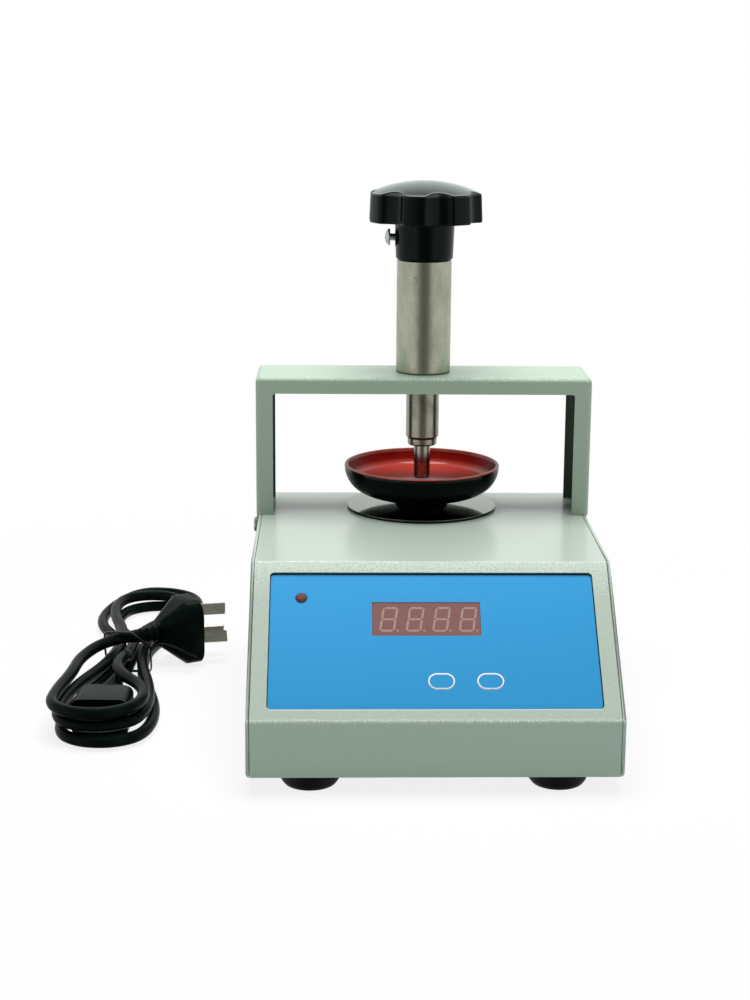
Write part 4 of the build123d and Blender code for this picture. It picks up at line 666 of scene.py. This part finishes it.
def flat_finish(name, colour, rough=0.5, metallic=0.0, coat=0.0):
    """Quiet finish of a small or inner piece: a slight mottle in colour, roughness and height."""
    s = Shader(name)
    mottle = s.noise(2.0, 3.0)
    return s.finish(
        Base_Color=s.mix(mottle, scaled(colour, 0.82), scaled(colour, 1.18)), Metallic=metallic,
        Roughness=mottle * 0.16 + (rough - 0.08), Coat_Weight=coat, Normal=s.bump(mottle, 0.01))


def circuit_board():
    """Green solder mask with paler tracks that run along both edges."""
    s = Shader("circuit_board")
    x, y, z = s.place()
    along = (x * 0.785).math("SINE").above(0.72, 0.2)
    across = ((y + z) * 0.6).math("SINE").above(0.78, 0.2)
    area = s.noise(14.0, 1.0).above(0.5, 0.04)
    track = along * area + across * (1.0 - area)
    return s.finish(
        Base_Color=s.mix(track * 0.6, srgb(14, 78, 42), srgb(46, 122, 70)),
        Roughness=0.34 - track * 0.08, Coat_Weight=0.3, Normal=s.bump(track, 0.03))


def laminations():
    """Varnished transformer laminations, half a millimetre each."""
    s = Shader("laminations")
    sheets = (s.place()[1] * 12.6).math("SINE") * 0.5 + 0.5
    return s.finish(
        Base_Color=s.mix(sheets, srgb(46, 44, 44), srgb(92, 90, 88)), Metallic=0.7, Roughness=0.42,
        Normal=s.bump(sheets, 0.05))


def sheath(colour):
    """Mains sheath: dark soft plastic, a fine grain, and places rubbed a little paler."""
    s = Shader("sheath")
    fine = s.noise(0.6, 2.0)
    rubbed = s.noise(7.0, 4.0).above(0.55, 0.25)
    return s.finish(
        Base_Color=s.mix(rubbed * 0.6, colour, scaled(colour, 1.9)),
        Roughness=fine * 0.10 + rubbed * 0.08 + 0.24, Specular_IOR_Level=0.05,
        Specular_Tint=DARK_SHEEN, Normal=s.bump(fine, 0.012))


# Operators, one for each piece or group of like pieces


class PieceOperator(bpy.types.Operator):
    """Base of the operators below."""

    bl_options = {"REGISTER", "UNDO"}

    @property
    def colours(self):
        """The scene's colour settings."""
        return bpy.context.scene.tester_colours

    @property
    def sizes(self):
        """The scene's size settings."""
        return bpy.context.scene.tester_sizes


class TESTER_OT_housing(PieceOperator):
    """Cover, chassis, back and gantry in powder coat, with their screws"""

    bl_idname = "tester.housing"
    bl_label = "Housing and gantry"

    def execute(self, context):
        coat = powder_coat(tuple(self.colours.housing), self.sizes.grain)
        for node in ("top_cover", "chassis", "rear_panel", "gantry_frame"):
            merged(node, coat, sharp=34.0)
        zinc = bare_plate("zinc_plate", srgb(172, 174, 168), 0.34)
        for node in ("gantry_screws", "rear_screws", "foot_screws", "gantry_nuts", "ring_nut",
                     "board_posts", "board_feet", "cell_bolts"):
            merged(node, zinc)
        return {"FINISHED"}


class TESTER_OT_panel(PieceOperator):
    """Panel film, keys, lamp and display"""

    bl_idname = "tester.panel"
    bl_label = "Front panel"

    def execute(self, context):
        blue = film("panel_print", tuple(self.colours.panel), self.sizes.outline)
        for node in ("panel_film", "peak_key", "zero_key"):
            merged(node, blue)
        # painted shade: the plate behind the film is dark so the gap round the film shows dark
        dark = bare_plate("plate_painted_shade", srgb(38, 42, 44), 0.42, (1.0, 12.0, 12.0))
        dress("panel_plate", dark)
        merged("display_window", smoky_filter("smoky_filter", srgb(150, 112, 110), 0.24))
        merged("display_segments", flat_finish("unlit_bars", srgb(248, 218, 212), 0.6))
        merged("display_module", flat_finish("display_case", srgb(172, 122, 116), 0.5))
        merged("indicator_led", smoky_filter("lamp_lens", srgb(126, 74, 64), 0.97))
        dress("key_switches", flat_finish("switch_black", srgb(30, 30, 30)))
        dress("display_board", circuit_board())
        return {"FINISHED"}


# Star knob, in millimetres. Heights are above the hub's lower end.
LOBES, LOBE_RADIUS, LOBE_TURN = 7, 30.6, math.radians(-90 - 12.9)
HOLLOW_CENTRE, HOLLOW_RADIUS = 37.3, 10.5
HUB_RADIUS, HUB_DRAFT, HUB_FILLET, HUB_EDGE = 15.9, 0.6, 1.7, 0.8
RIM_HIGH, RIM_EDGE = 19.6, 0.9
SKIRT_HIGH, SKIRT_DRAFT, SKIRT_EDGE = 14.6, math.tan(math.radians(2.6)), 1.3
DOME_HIGH = 7.0
DOME_BALL = (LOBE_RADIUS**2 + DOME_HIGH**2) / (2 * DOME_HIGH)
BORE = ((8.0, 0.0), (7.2, 0.0), (7.0, 0.3), (7.0, 27.0), (0.0, 27.0))  # radius and height
CLAMP_HIGH, SEAT_X, CLAMP_X = 11.3, -15.25, -18.4  # clamp screw, its socket's face and its own


def star_radius(angle, blend):
    """Outline of the star knob. At the turn a from the nearest hollow's middle the hollow's edge is
    at c cos a - sqrt(h^2 - (c sin a)^2), and the outline is the smooth least of that and the lobes'
    radius: the mean less half of hypot(difference, blend)."""
    step = 2 * math.pi / LOBES
    a = (angle - LOBE_TURN) % step - step / 2
    inside = np.maximum(HOLLOW_RADIUS**2 - (HOLLOW_CENTRE * np.sin(a)) ** 2, 0.0)
    edge = HOLLOW_CENTRE * np.cos(a) - np.sqrt(inside)
    spread = np.hypot(edge - LOBE_RADIUS, blend)
    return (edge + LOBE_RADIUS) / 2 - spread / 2 + blend * 0.12


def dome_height(r):
    """Height of the dome over the skirt: d - B + sqrt(B^2 - r^2) for a ball of radius B."""
    return DOME_HIGH - DOME_BALL + np.sqrt(DOME_BALL**2 - r**2)


def knob_rows(outline):
    """Radius and height of the knob's rows from the crown to the bore's end, each at every angle of
    the outline. Rounded edges are quarter arcs r +- e sin t, h +- e (1 - cos t)."""

    def share(steps):
        """Even shares from 0 to 1, one for each row, without the first."""
        return np.linspace(0, 1, steps)[1:, None]

    def arc(steps):
        """1 - cos and sin of a quarter turn's angles, without the first."""
        t = share(steps) * math.pi / 2
        return 1 - np.cos(t), np.sin(t)

    inner = outline - SKIRT_HIGH * SKIRT_DRAFT - SKIRT_EDGE
    dome = inner * np.linspace(0, 1, 22)[:, None]
    shoulder = RIM_HIGH + SKIRT_HIGH + dome_height(inner)
    base = shoulder - SKIRT_EDGE
    skirt = base + (RIM_HIGH + RIM_EDGE - base) * share(7)
    root = RIM_HIGH - HUB_FILLET
    foot = HUB_RADIUS - HUB_DRAFT
    bore = np.array(BORE)
    over, under, fillet, end = arc(9), arc(6), arc(6), arc(5)
    rows = [
        (dome, RIM_HIGH + SKIRT_HIGH + dome_height(dome)),
        (inner + SKIRT_EDGE * over[1], shoulder - SKIRT_EDGE * over[0]),
        (outline - (skirt - RIM_HIGH) * SKIRT_DRAFT, skirt),
        (outline - RIM_EDGE * under[0], RIM_HIGH + RIM_EDGE * (1 - under[1])),
        (np.array([[24.0], [20.0], [HUB_RADIUS + HUB_FILLET]]), RIM_HIGH),  # flat underside
        (HUB_RADIUS + HUB_FILLET * (1 - fillet[1]), RIM_HIGH - HUB_FILLET * fillet[0]),
        (HUB_RADIUS - HUB_DRAFT * share(6), root + (HUB_EDGE - root) * share(6)),
        (foot - HUB_EDGE * end[0], HUB_EDGE * (1 - end[1])),
        (bore[:, :1], bore[:, 1:]),
    ]
    return np.concatenate([np.broadcast_arrays(r, h, outline)[:2] for r, h in rows], axis=1)


class TESTER_OT_knob(PieceOperator):
    """Star knob and its clamp screw"""

    bl_idname = "tester.knob"
    bl_label = "Star knob"

    def execute(self, context):
        low = heights_of("star_knob")[0]
        angle = np.linspace(0, 2 * math.pi, 336, endpoint=False)
        r, h = knob_rows(star_radius(angle, 1.3))
        grid = np.stack([r * np.cos(angle), AXIS_Y + r * np.sin(angle), low + h], axis=-1)
        black = phenolic(low + RIM_HIGH + SKIRT_HIGH + 0.2)
        replaced("star_knob", "knob_star", skin(grid), black, sharp=40.0)
        # dark socket round the clamp screw, a shallow ring that stands on the hub
        seat = ring_turned(
            rounded([(2.4, 0.0), (2.4, 0.5), (4.9, 0.5), (5.3, -1.2), (2.4, -1.2)],
                    (0.1, 0.25, 0.1)),
            (SEAT_X, AXIS_Y, low + CLAMP_HIGH), (-1, 0, 0), 48, (0, 1, 0))
        ring = put("knob_screw_seat", *seat, black, BODY_OF["star_knob"])
        screw = turned(
            rounded([(0.0, -11.6), (1.9, -11.6), (1.9, 0.0), (4.55, 0.0), (4.4, 0.9), (2.6, 2.4),
                     (0.0, 2.9)], (0.3, 0.1, 0.25, 0.5, 1.5)),
            (CLAMP_X, AXIS_Y, low + CLAMP_HIGH), (-1, 0, 0), 56, (0, 1, 0))
        nickel = bare_plate("nickel_plate", srgb(196, 198, 194), 0.28)
        replaced("knob_screw", "knob_clamp_screw", screw, nickel)
        return {"FINISHED"}


# Screw column, in millimetres
TUBE_BORE, TUBE_TENON, TUBE_RADIUS = 11.0, 13.0, 14.6
SPINDLE_RADIUS, STEM_RADIUS, NOSE_RADIUS = 8.9, 7.0, 5.0
STEM_LONG = 27.0  # the stem goes up into the knob
COLLAR_RADIUS, PUNCH_RADIUS = 7.9, 4.45
SWIVEL_GAP, RUNNING_GAP = 0.3, 0.05  # collar to the spindle's shoulder, and to its nose


class TESTER_OT_column(PieceOperator):
    """Guide tube, thread bush, spindle, swivel collar and punch"""

    bl_idname = "tester.column"
    bl_label = "Screw column"

    def execute(self, context):
        low, high = heights_of("guide_tube")
        tube = rounded(
            [(TUBE_BORE, low), (TUBE_TENON, low), (TUBE_TENON, BEAM_TOP),
             (TUBE_RADIUS - 0.3, BEAM_TOP), (TUBE_RADIUS, BEAM_TOP + 0.5),
             (TUBE_RADIUS, high - 0.6), (TUBE_RADIUS - 0.6, high), (TUBE_BORE + 0.3, high),
             (TUBE_BORE, high - 0.3)], (0.2, 0.01, 0.1, 0.2, 0.3, 0.3, 0.2))
        shape = ring_turned(tube, AXIS_FOOT, sides=128)
        replaced("guide_tube", "tube_skin", shape, tube_metal())
        merged("thread_bush", flat_finish("bronze", srgb(168, 132, 74), 0.32, 1.0))

        steel = turned_metal("turned_steel", srgb(158, 156, 142), 0.26, stain=0.4)
        nose, high = heights_of("spindle")
        low, collar_top = heights_of("swivel_collar")
        shoulder = collar_top + SWIVEL_GAP
        spindle = rounded(
            [(0.0, nose), (NOSE_RADIUS, nose), (NOSE_RADIUS, shoulder),
             (SPINDLE_RADIUS - 1.0, shoulder), (SPINDLE_RADIUS, shoulder + 1.0),
             (SPINDLE_RADIUS, high - STEM_LONG), (STEM_RADIUS, high - STEM_LONG),
             (STEM_RADIUS, high), (0.0, high)], (0.1, 0.05, 0.2, 0.5, 0.1, 0.05, 0.1))
        replaced("spindle", "spindle_skin", turned(spindle, AXIS_FOOT), steel)

        bore, bottom = NOSE_RADIUS + RUNNING_GAP, nose - RUNNING_GAP
        collar = rounded(
            [(0.0, low), (COLLAR_RADIUS - 0.8, low), (COLLAR_RADIUS, low + 0.8),
             (COLLAR_RADIUS, collar_top), (bore, collar_top), (bore, bottom), (0.0, bottom)],
            (0.2, 0.25, 0.2, 0.1, 0.05))
        replaced("swivel_collar", "collar_skin", turned(collar, AXIS_FOOT), steel)

        polished = turned_metal("punch_steel", srgb(168, 166, 156), 0.20, stain=0.2)
        low, high = heights_of("punch")
        punch = rounded(
            [(0.0, low), (PUNCH_RADIUS - 0.5, low), (PUNCH_RADIUS, low + 0.5),
             (PUNCH_RADIUS, high), (0.0, high)], (0.15, 0.2, 0.05))
        replaced("punch", "punch_skin", turned(punch, AXIS_FOOT, sides=72), polished)
        return {"FINISHED"}


def bezier(points, steps):
    """Points of a cubic curve: (1-t)^3 a + 3 t (1-t)^2 b + 3 t^2 (1-t) c + t^3 d."""
    a, b, c, d = np.asarray(points, float)
    t = np.linspace(0, 1, steps)[:, None]
    return (1 - t) ** 3 * a + 3 * t * (1 - t) ** 2 * b + 3 * t**2 * (1 - t) * c + t**3 * d


# Dish and disc, in millimetres. Heights are above what the dish stands on.
DISH_FLOOR, DISH_SOLE = 13.7, 4.0
LIP_CENTRE, LIP_RADIUS = 41.2, 1.0
LIP_ROWS = 12
DISC_RADIUS = 40.6


class TESTER_OT_dish(PieceOperator):
    """Dish, black outside and red inside, and the polished load disc under it"""

    bl_idname = "tester.dish"
    bl_label = "Dish and disc"

    def execute(self, context):
        stand, rim = heights_of("dish")
        floor, sole = stand + DISH_FLOOR, stand + DISH_SOLE
        outside = np.concatenate([
            rounded([(0.0, sole + 4.0), (11.4, sole + 4.0), (12.0, stand), (14.4, stand),
                     (15.0, sole)], (0.6, 0.35, 0.5), 5),
            bezier([(15.0, sole), (26.0, sole + 0.6), (41.5, sole + 2.4), (42.2, rim - 1.0)],
                   34)[1:]])
        t = np.linspace(0, math.pi, LIP_ROWS + 1)[1:, None]
        lip = np.hstack([LIP_CENTRE + LIP_RADIUS * np.cos(t), rim - LIP_RADIUS * (1 - np.sin(t))])
        inside = np.concatenate([
            bezier([(40.2, rim - 1.0), (37.7, floor + 1.2), (33.0, floor + 0.4),
                    (25.0, floor + 0.2)], 30)[1:],
            np.array([(18.0, floor + 0.12), (9.0, floor + 0.03), (0.0, floor)])])
        sides = 144
        shape = turned(np.concatenate([outside, lip, inside]), AXIS_FOOT, sides=sides)
        # the outside is black, the lip is worn paler, and the rest is red
        quads, *poles = shape[1]
        row = np.arange(len(quads)) // sides + 1
        slots = [np.digitize(row, (len(outside), len(outside) + LIP_ROWS))]
        slots += [np.full(len(pole), k) for pole, k in zip(poles, (0, 2))]
        black = enamel("dish_black", srgb(2, 6, 4), srgb(4, 9, 7), 0.22, 0.05, rim)
        worn = enamel("dish_rim", srgb(178, 92, 76), srgb(158, 66, 52), 0.3, 0.3, rim)
        red = lining(tuple(self.colours.dish_inside), floor)
        replaced("dish", "dish_bowl", shape, [black, worn, red], slots=slots)

        low, high = heights_of("load_disc")
        disc = rounded([(0.0, low), (DISC_RADIUS, low), (DISC_RADIUS, high), (0.0, high)],
                       (0.1, 0.06))
        plate = turned(disc, AXIS_FOOT, sides=160)
        replaced("load_disc", "disc_plate", plate, polished_disc(high))
        return {"FINISHED"}


# Rubber foot, in millimetres: its screw's hole and recess, and the web between them
FOOT_HOLE, FOOT_RECESS, FOOT_WEB = 2.05, 4.0, 3.5


class TESTER_OT_feet(PieceOperator):
    """Rubber feet"""

    bl_idname = "tester.feet"
    bl_label = "Feet"

    def execute(self, context):
        rubber = moulded("foot_rubber", srgb(4, 6, 6), 0.55, 0.4, 0.03)
        for node in ("foot_front_left", "foot_front_right", "foot_rear_left", "foot_rear_right"):
            low, high = cad_box(node)
            radius, height = (high[0] - low[0]) / 2, high[2]
            web = height - FOOT_WEB
            foot = rounded(
                [(FOOT_HOLE, web), (FOOT_RECESS, web), (FOOT_RECESS, 0.0), (radius - 2.6, 0.0),
                 (radius - 0.8, 2.4), (radius, height), (FOOT_HOLE, height)],
                (0.1, 0.5, 1.4, 2.0, 0.6))
            shape = ring_turned(foot, (*middle_of(node)[:2], 0.0), sides=80)
            replaced(node, node + "_skin", shape, rubber)
        return {"FINISHED"}


class TESTER_OT_inside(PieceOperator):
    """Load cell, boards and transformer"""

    bl_idname = "tester.inside"
    bl_label = "Inner pieces"

    def execute(self, context):
        milled = bare_plate("milled_aluminium", srgb(198, 200, 204), 0.34, (12.0, 1.0, 12.0))
        for node in ("load_cell", "cell_block"):
            merged(node, milled)
        merged("load_post", turned_metal("post_steel", srgb(186, 186, 180), 0.24))
        dress("main_board", circuit_board())
        dress("board_parts", flat_finish("component_black", srgb(34, 34, 36), 0.5))
        dress("transformer_core", laminations())
        dress("transformer_coil", flat_finish("coil_tape", srgb(214, 180, 60), 0.35, coat=0.3))
        return {"FINISHED"}


class TESTER_OT_rear(PieceOperator):
    """Mains inlet, fuse drawer and power switch"""

    bl_idname = "tester.rear"
    bl_label = "Rear fittings"

    def execute(self, context):
        black = moulded("inlet_black", srgb(26, 27, 28), 0.42, 0.35, 0.012)
        for node in ("mains_inlet", "fuse_drawer", "switch_body"):
            merged(node, black)
        merged("power_rocker", flat_finish("rocker_gloss", srgb(20, 20, 21), 0.2, coat=0.4))
        merged("inlet_pins", flat_finish("nickel_pins", srgb(206, 202, 190), 0.25, 1.0))
        dress("fuse", smoky_filter("fuse_glass", srgb(214, 222, 220), 0.35))
        return {"FINISHED"}


# Mains lead: the route in its own frame, in millimetres, turned and moved onto the bench

HANK_PLACE, HANK_TURN = (-160.0, 79.4), math.radians(-2.0)
LOW_LAYER, MIDDLE_LAYER, HIGH_LAYER = 4.0, 10.75, 17.5
STRAND = 7.2
SOCKET_AXIS, PLUG_AXIS = 10.2, 18.6
RELIEF_END = -62.0
PLUG_TURN = math.radians(30.0)
# way, x of the first and last stop, reach, heights at both ends, and x where the waist is crossed
LOOPS = (
    (1, -18, 26, 98, LOW_LAYER, LOW_LAYER, STRAND),
    (-1, 24, -21, 136, LOW_LAYER, LOW_LAYER, -STRAND),
    (1, -28, 28, 105, LOW_LAYER, MIDDLE_LAYER, STRAND),
    (-1, 21, -23, 132, MIDDLE_LAYER, MIDDLE_LAYER, -STRAND),
    (1, -20, 18, 98, MIDDLE_LAYER, MIDDLE_LAYER, 0.0),
)


def on_bench(points):
    """Points of the lead's frame, turned by HANK_TURN and moved to HANK_PLACE."""
    p = np.atleast_2d(np.asarray(points, float))
    c, s = math.cos(HANK_TURN), math.sin(HANK_TURN)
    return np.stack([HANK_PLACE[0] + c * p[:, 0] - s * p[:, 1],
                     HANK_PLACE[1] + s * p[:, 0] + c * p[:, 1], p[:, 2]], axis=-1)


def loop_round(way, first, last, reach, low, high):
    """Three stops of a half turn: up one side, over the far end and down the other side."""
    half = abs(last - first) / 2
    shoulder = way * (reach - half)
    over = (1.0 if last > first else -1.0, 0.0, 0.0)
    return [
        ((first, shoulder, low), (0.0, way, 0.0)),
        (((first + last) / 2, way * reach, high), over),
        ((last, shoulder, high), (0.0, -way, 0.0)),
    ]


def lead_stops():
    """Points and headings of the lead from the connector's relief to the plug's."""
    stops = [((0, RELIEF_END, SOCKET_AXIS), (0, 1, 0)), ((0, -31, LOW_LAYER), (0, 1, 0)),
             ((0, 0, LOW_LAYER), (0, 1, 0))]
    for way, first, last, reach, low, high, waist in LOOPS:
        stops += loop_round(way, first, last, reach, low, high)
        stops.append(((waist, 0, high), (0, -way, 0)))
    stops += [((0, -14, MIDDLE_LAYER), (0, -1, 0)), ((0, -50, HIGH_LAYER), (0, -1, 0))]
    stops += loop_round(-1, 20, -25, 133, HIGH_LAYER, HIGH_LAYER)
    stops += [((-22, -58, HIGH_LAYER), (0, 1, 0)),
              ((0, -11, PLUG_AXIS), (math.cos(PLUG_TURN), math.sin(PLUG_TURN), 0))]
    return [(np.array(p, float), np.array(d, float)) for p, d in stops]


def lead_route():
    """Control points of the lead. Between stops a and b with headings p and q, the two points
    a + m p and b - m q are as far apart as 2 m, which gives m from m^2 2 (1 - p.q) + 2 m s.(p + q)
    = s.s with s = b - a."""
    stops = lead_stops()
    route = [stops[0][0]]
    for (a, p), (b, q) in zip(stops, stops[1:]):
        span, both = b - a, p + q
        spread = 2 * (1 - p @ q)
        if spread < 1e-9:
            arm = span @ span / (2 * span @ both)
        else:
            arm = (-(span @ both) + math.sqrt((span @ both) ** 2 + spread * (span @ span))) / spread
        route += [a + p * arm, b - q * arm]
    route.append(stops[-1][0])
    return on_bench(route)


def curve_of(name, points, radius, material, body):
    """Round cord along a quadratic spline whose control polygon is the points, in millimetres."""
    curve = bpy.data.curves.new(name, "CURVE")
    curve.dimensions = "3D"
    curve.resolution_u = 8
    curve.bevel_depth = radius * MM
    curve.bevel_resolution = 6
    curve.use_fill_caps = True
    line = curve.splines.new("NURBS")
    line.points.add(len(points) - 1)
    line.points.foreach_set("co", np.insert(points * MM, 3, 1.0, axis=1).ravel())
    line.order_u = 3
    line.use_endpoint_u = True
    curve.materials.append(material)
    piece = placed(name, curve)
    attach(piece, body)
    return piece


class TESTER_OT_lead(PieceOperator):
    """Mains lead with its connector, plug, reliefs and tie"""

    bl_idname = "tester.lead"
    bl_label = "Mains lead"

    def execute(self, context):
        black = sheath(tuple(self.colours.sheath))
        diameter = self.sizes.cord_diameter
        cord = curve_of(
            "lead_cord", lead_route(), diameter / MM / 2, black, BODY_OF["mains_cord"])
        stands_for(cord, "mains_cord")
        for node in ("socket_relief", "lead_socket", "plug_relief", "plug_body"):
            merged(node, black, sharp=34.0)
        merged("plug_pins", flat_finish("nickel_pins", srgb(206, 202, 190), 0.25, 1.0))
        merged("twist_tie", sheath(srgb(26, 28, 28)))
        return {"FINISHED"}


# Camera, light and bench


def camera():
    """The photo's camera: a 68.3 mm lens on a 36 mm sensor, turned 2.1 degrees and tipped 13.22."""
    yaw, pitch, roll = math.radians(2.10), math.radians(13.22), math.radians(0.63)
    ahead = Vector((
        math.sin(yaw) * math.cos(pitch), math.cos(yaw) * math.cos(pitch), -math.sin(pitch)))
    level = Vector((math.cos(yaw), -math.sin(yaw), 0.0))
    above = level.cross(ahead)
    right = math.cos(roll) * level + math.sin(roll) * above
    up = -math.sin(roll) * level + math.cos(roll) * above
    lens = bpy.data.cameras.new("camera")
    lens.lens, lens.sensor_width = 68.303, 36.0
    lens.shift_x, lens.shift_y = -0.03184, -0.00365
    lens.clip_start, lens.clip_end = 0.01, 50.0
    view = placed("camera", lens)
    turn = Matrix((right, up, -ahead)).transposed().to_4x4()
    view.matrix_world = Matrix.Translation((-0.0451, -0.94055, 0.33607)) @ turn
    bpy.context.scene.camera = view


def lamp(name, place, aim, size, power):
    """Square area lamp at a place in metres, aimed at a point. Neither the camera nor a glossy
    surface sees it, because the room light is what glossy surfaces mirror."""
    light = bpy.data.lights.new(name, "AREA")
    light.size = size
    light.energy = power
    made = placed(name, light)
    made.location = place
    made.rotation_mode = "QUATERNION"
    made.rotation_quaternion = (Vector(aim) - Vector(place)).to_track_quat("-Z", "Y")
    made.visible_camera = False
    made.visible_glossy = False


def backdrop_light():
    """World light. The camera sees white, and so do rays that pass through. Diffuse rays get a dim
    grey, and glossy ones a room that is bright at the sides and the back, with a window high up
    behind the object, and dark towards the camera."""
    s = Shader("room", world=True)
    path = s.node("ShaderNodeLightPath")
    here = s.node("ShaderNodeTexCoord")["Generated"]
    parts = s.node("ShaderNodeSeparateXYZ", None, {0: here})
    x, y, z = (parts.value(name) for name in "XYZ")
    side = (abs(x) - 0.19).math("MULTIPLY", 2.4, clamp=True) * z.above(-0.5, 0.2)
    side = side * z.below(0.55, 0.3)
    over = z.above(0.86, 0.12)
    behind = y.above(0.4, 0.6) * z.below(0.82, 0.5)
    window = (y * 0.45 + z * 0.89).above(0.978, 0.012)
    room = (side * 0.90).math("MAXIMUM", over * 0.5).math("MAXIMUM", behind * 0.85)
    room = room.math("MAXIMUM", 0.16) + window * 5.0
    glossy = s.blend(path.value("Is Glossy Ray"), 0.055, room)
    seen = path.value("Is Camera Ray").math("MAXIMUM", path.value("Is Transmission Ray"))
    light = s.node("ShaderNodeBackground", None,
                   {"Color": (1.0, 1.0, 1.0, 1.0), "Strength": s.blend(seen, glossy, 1.0)})
    s.tree.links.new(light["Background"], s.output.inputs["Surface"])
    bpy.context.scene.world = s.data


def bench():
    """White bench that keeps the object's shadow near it and fades into the white beyond. It lights
    the object from below, and the camera sees only the softest part of the shadow."""
    s = Shader("bench_white")
    x, y = s.place()[:2]
    middle_x, middle_y, fade = -60.0, 20.0, 330.0
    seen = s.node("ShaderNodeLightPath").value("Is Camera Ray")
    near = hypot(x - middle_x, y - middle_y).below(fade, fade - 10.0) * (1.0 - seen * 0.84)
    grain = s.noise(40.0, 2.0)
    paper = s.node("ShaderNodeBsdfPrincipled", None, {
        "Base Color": s.mix(grain, (0.86, 0.87, 0.86), (0.90, 0.90, 0.89)),
        "Roughness": grain * 0.1 + 0.55})
    white = s.node(
        "ShaderNodeEmission", None, {"Color": (1.0, 1.0, 1.0, 1.0), "Strength": 1.0})
    both = s.node(
        "ShaderNodeMixShader", None, {0: near, 1: white["Emission"], 2: paper["BSDF"]})
    s.tree.links.new(both["Shader"], s.output.inputs["Surface"])
    mesh = bpy.data.meshes.new("bench")
    reach = 1.5
    corners = [(-reach, -reach, 0), (reach, -reach, 0), (reach, reach, 0), (-reach, reach, 0)]
    mesh.from_pydata(corners, [], [(0, 1, 2, 3)])
    mesh.materials.append(s.data)
    floor = placed("bench", mesh)
    floor.visible_glossy = False


class TESTER_OT_stage(PieceOperator):
    """Camera, lamp, room light and bench"""

    bl_idname = "tester.stage"
    bl_label = "Stage"

    def execute(self, context):
        camera()
        lamp("overhead", (0.0, 0.08, 1.25), (0.0, 0.02, 0.1), 0.8, self.sizes.lamp)
        backdrop_light()
        bench()
        bpy.context.scene.view_settings.view_transform = "Standard"
        return {"FINISHED"}


OPERATORS = (
    TESTER_OT_housing, TESTER_OT_panel, TESTER_OT_knob, TESTER_OT_column, TESTER_OT_dish,
    TESTER_OT_feet, TESTER_OT_inside, TESTER_OT_rear, TESTER_OT_lead, TESTER_OT_stage,
)


class TESTER_PT_pieces(bpy.types.Panel):
    """Sidebar panel with the settings and one button for each step"""

    bl_idname = "TESTER_PT_pieces"
    bl_label = "Particle strength tester"
    bl_space_type = "VIEW_3D"
    bl_region_type = "UI"
    bl_category = "Tester"

    def draw(self, context):
        layout = self.layout
        for group in (context.scene.tester_colours, context.scene.tester_sizes):
            box = layout.box()
            for name in group.__annotations__:
                box.prop(group, name)
        column = layout.column(align=True)
        for operator in OPERATORS:
            column.operator(operator.bl_idname)


CLASSES = (TesterColours, TesterSizes, *OPERATORS, TESTER_PT_pieces)


def register():
    """Adds the classes and the scene's settings."""
    for each in CLASSES:
        bpy.utils.register_class(each)
    bpy.types.Scene.tester_colours = bpy.props.PointerProperty(type=TesterColours)
    bpy.types.Scene.tester_sizes = bpy.props.PointerProperty(type=TesterSizes)


def unregister():
    """Takes them away again."""
    del bpy.types.Scene.tester_sizes
    del bpy.types.Scene.tester_colours
    for each in reversed(CLASSES):
        bpy.utils.unregister_class(each)


def main():
    """Runs every operator in order."""
    register()
    for operator in OPERATORS:
        group, name = operator.bl_idname.split(".")
        getattr(getattr(bpy.ops, group), name)()


if __name__ == "__main__":
    main()
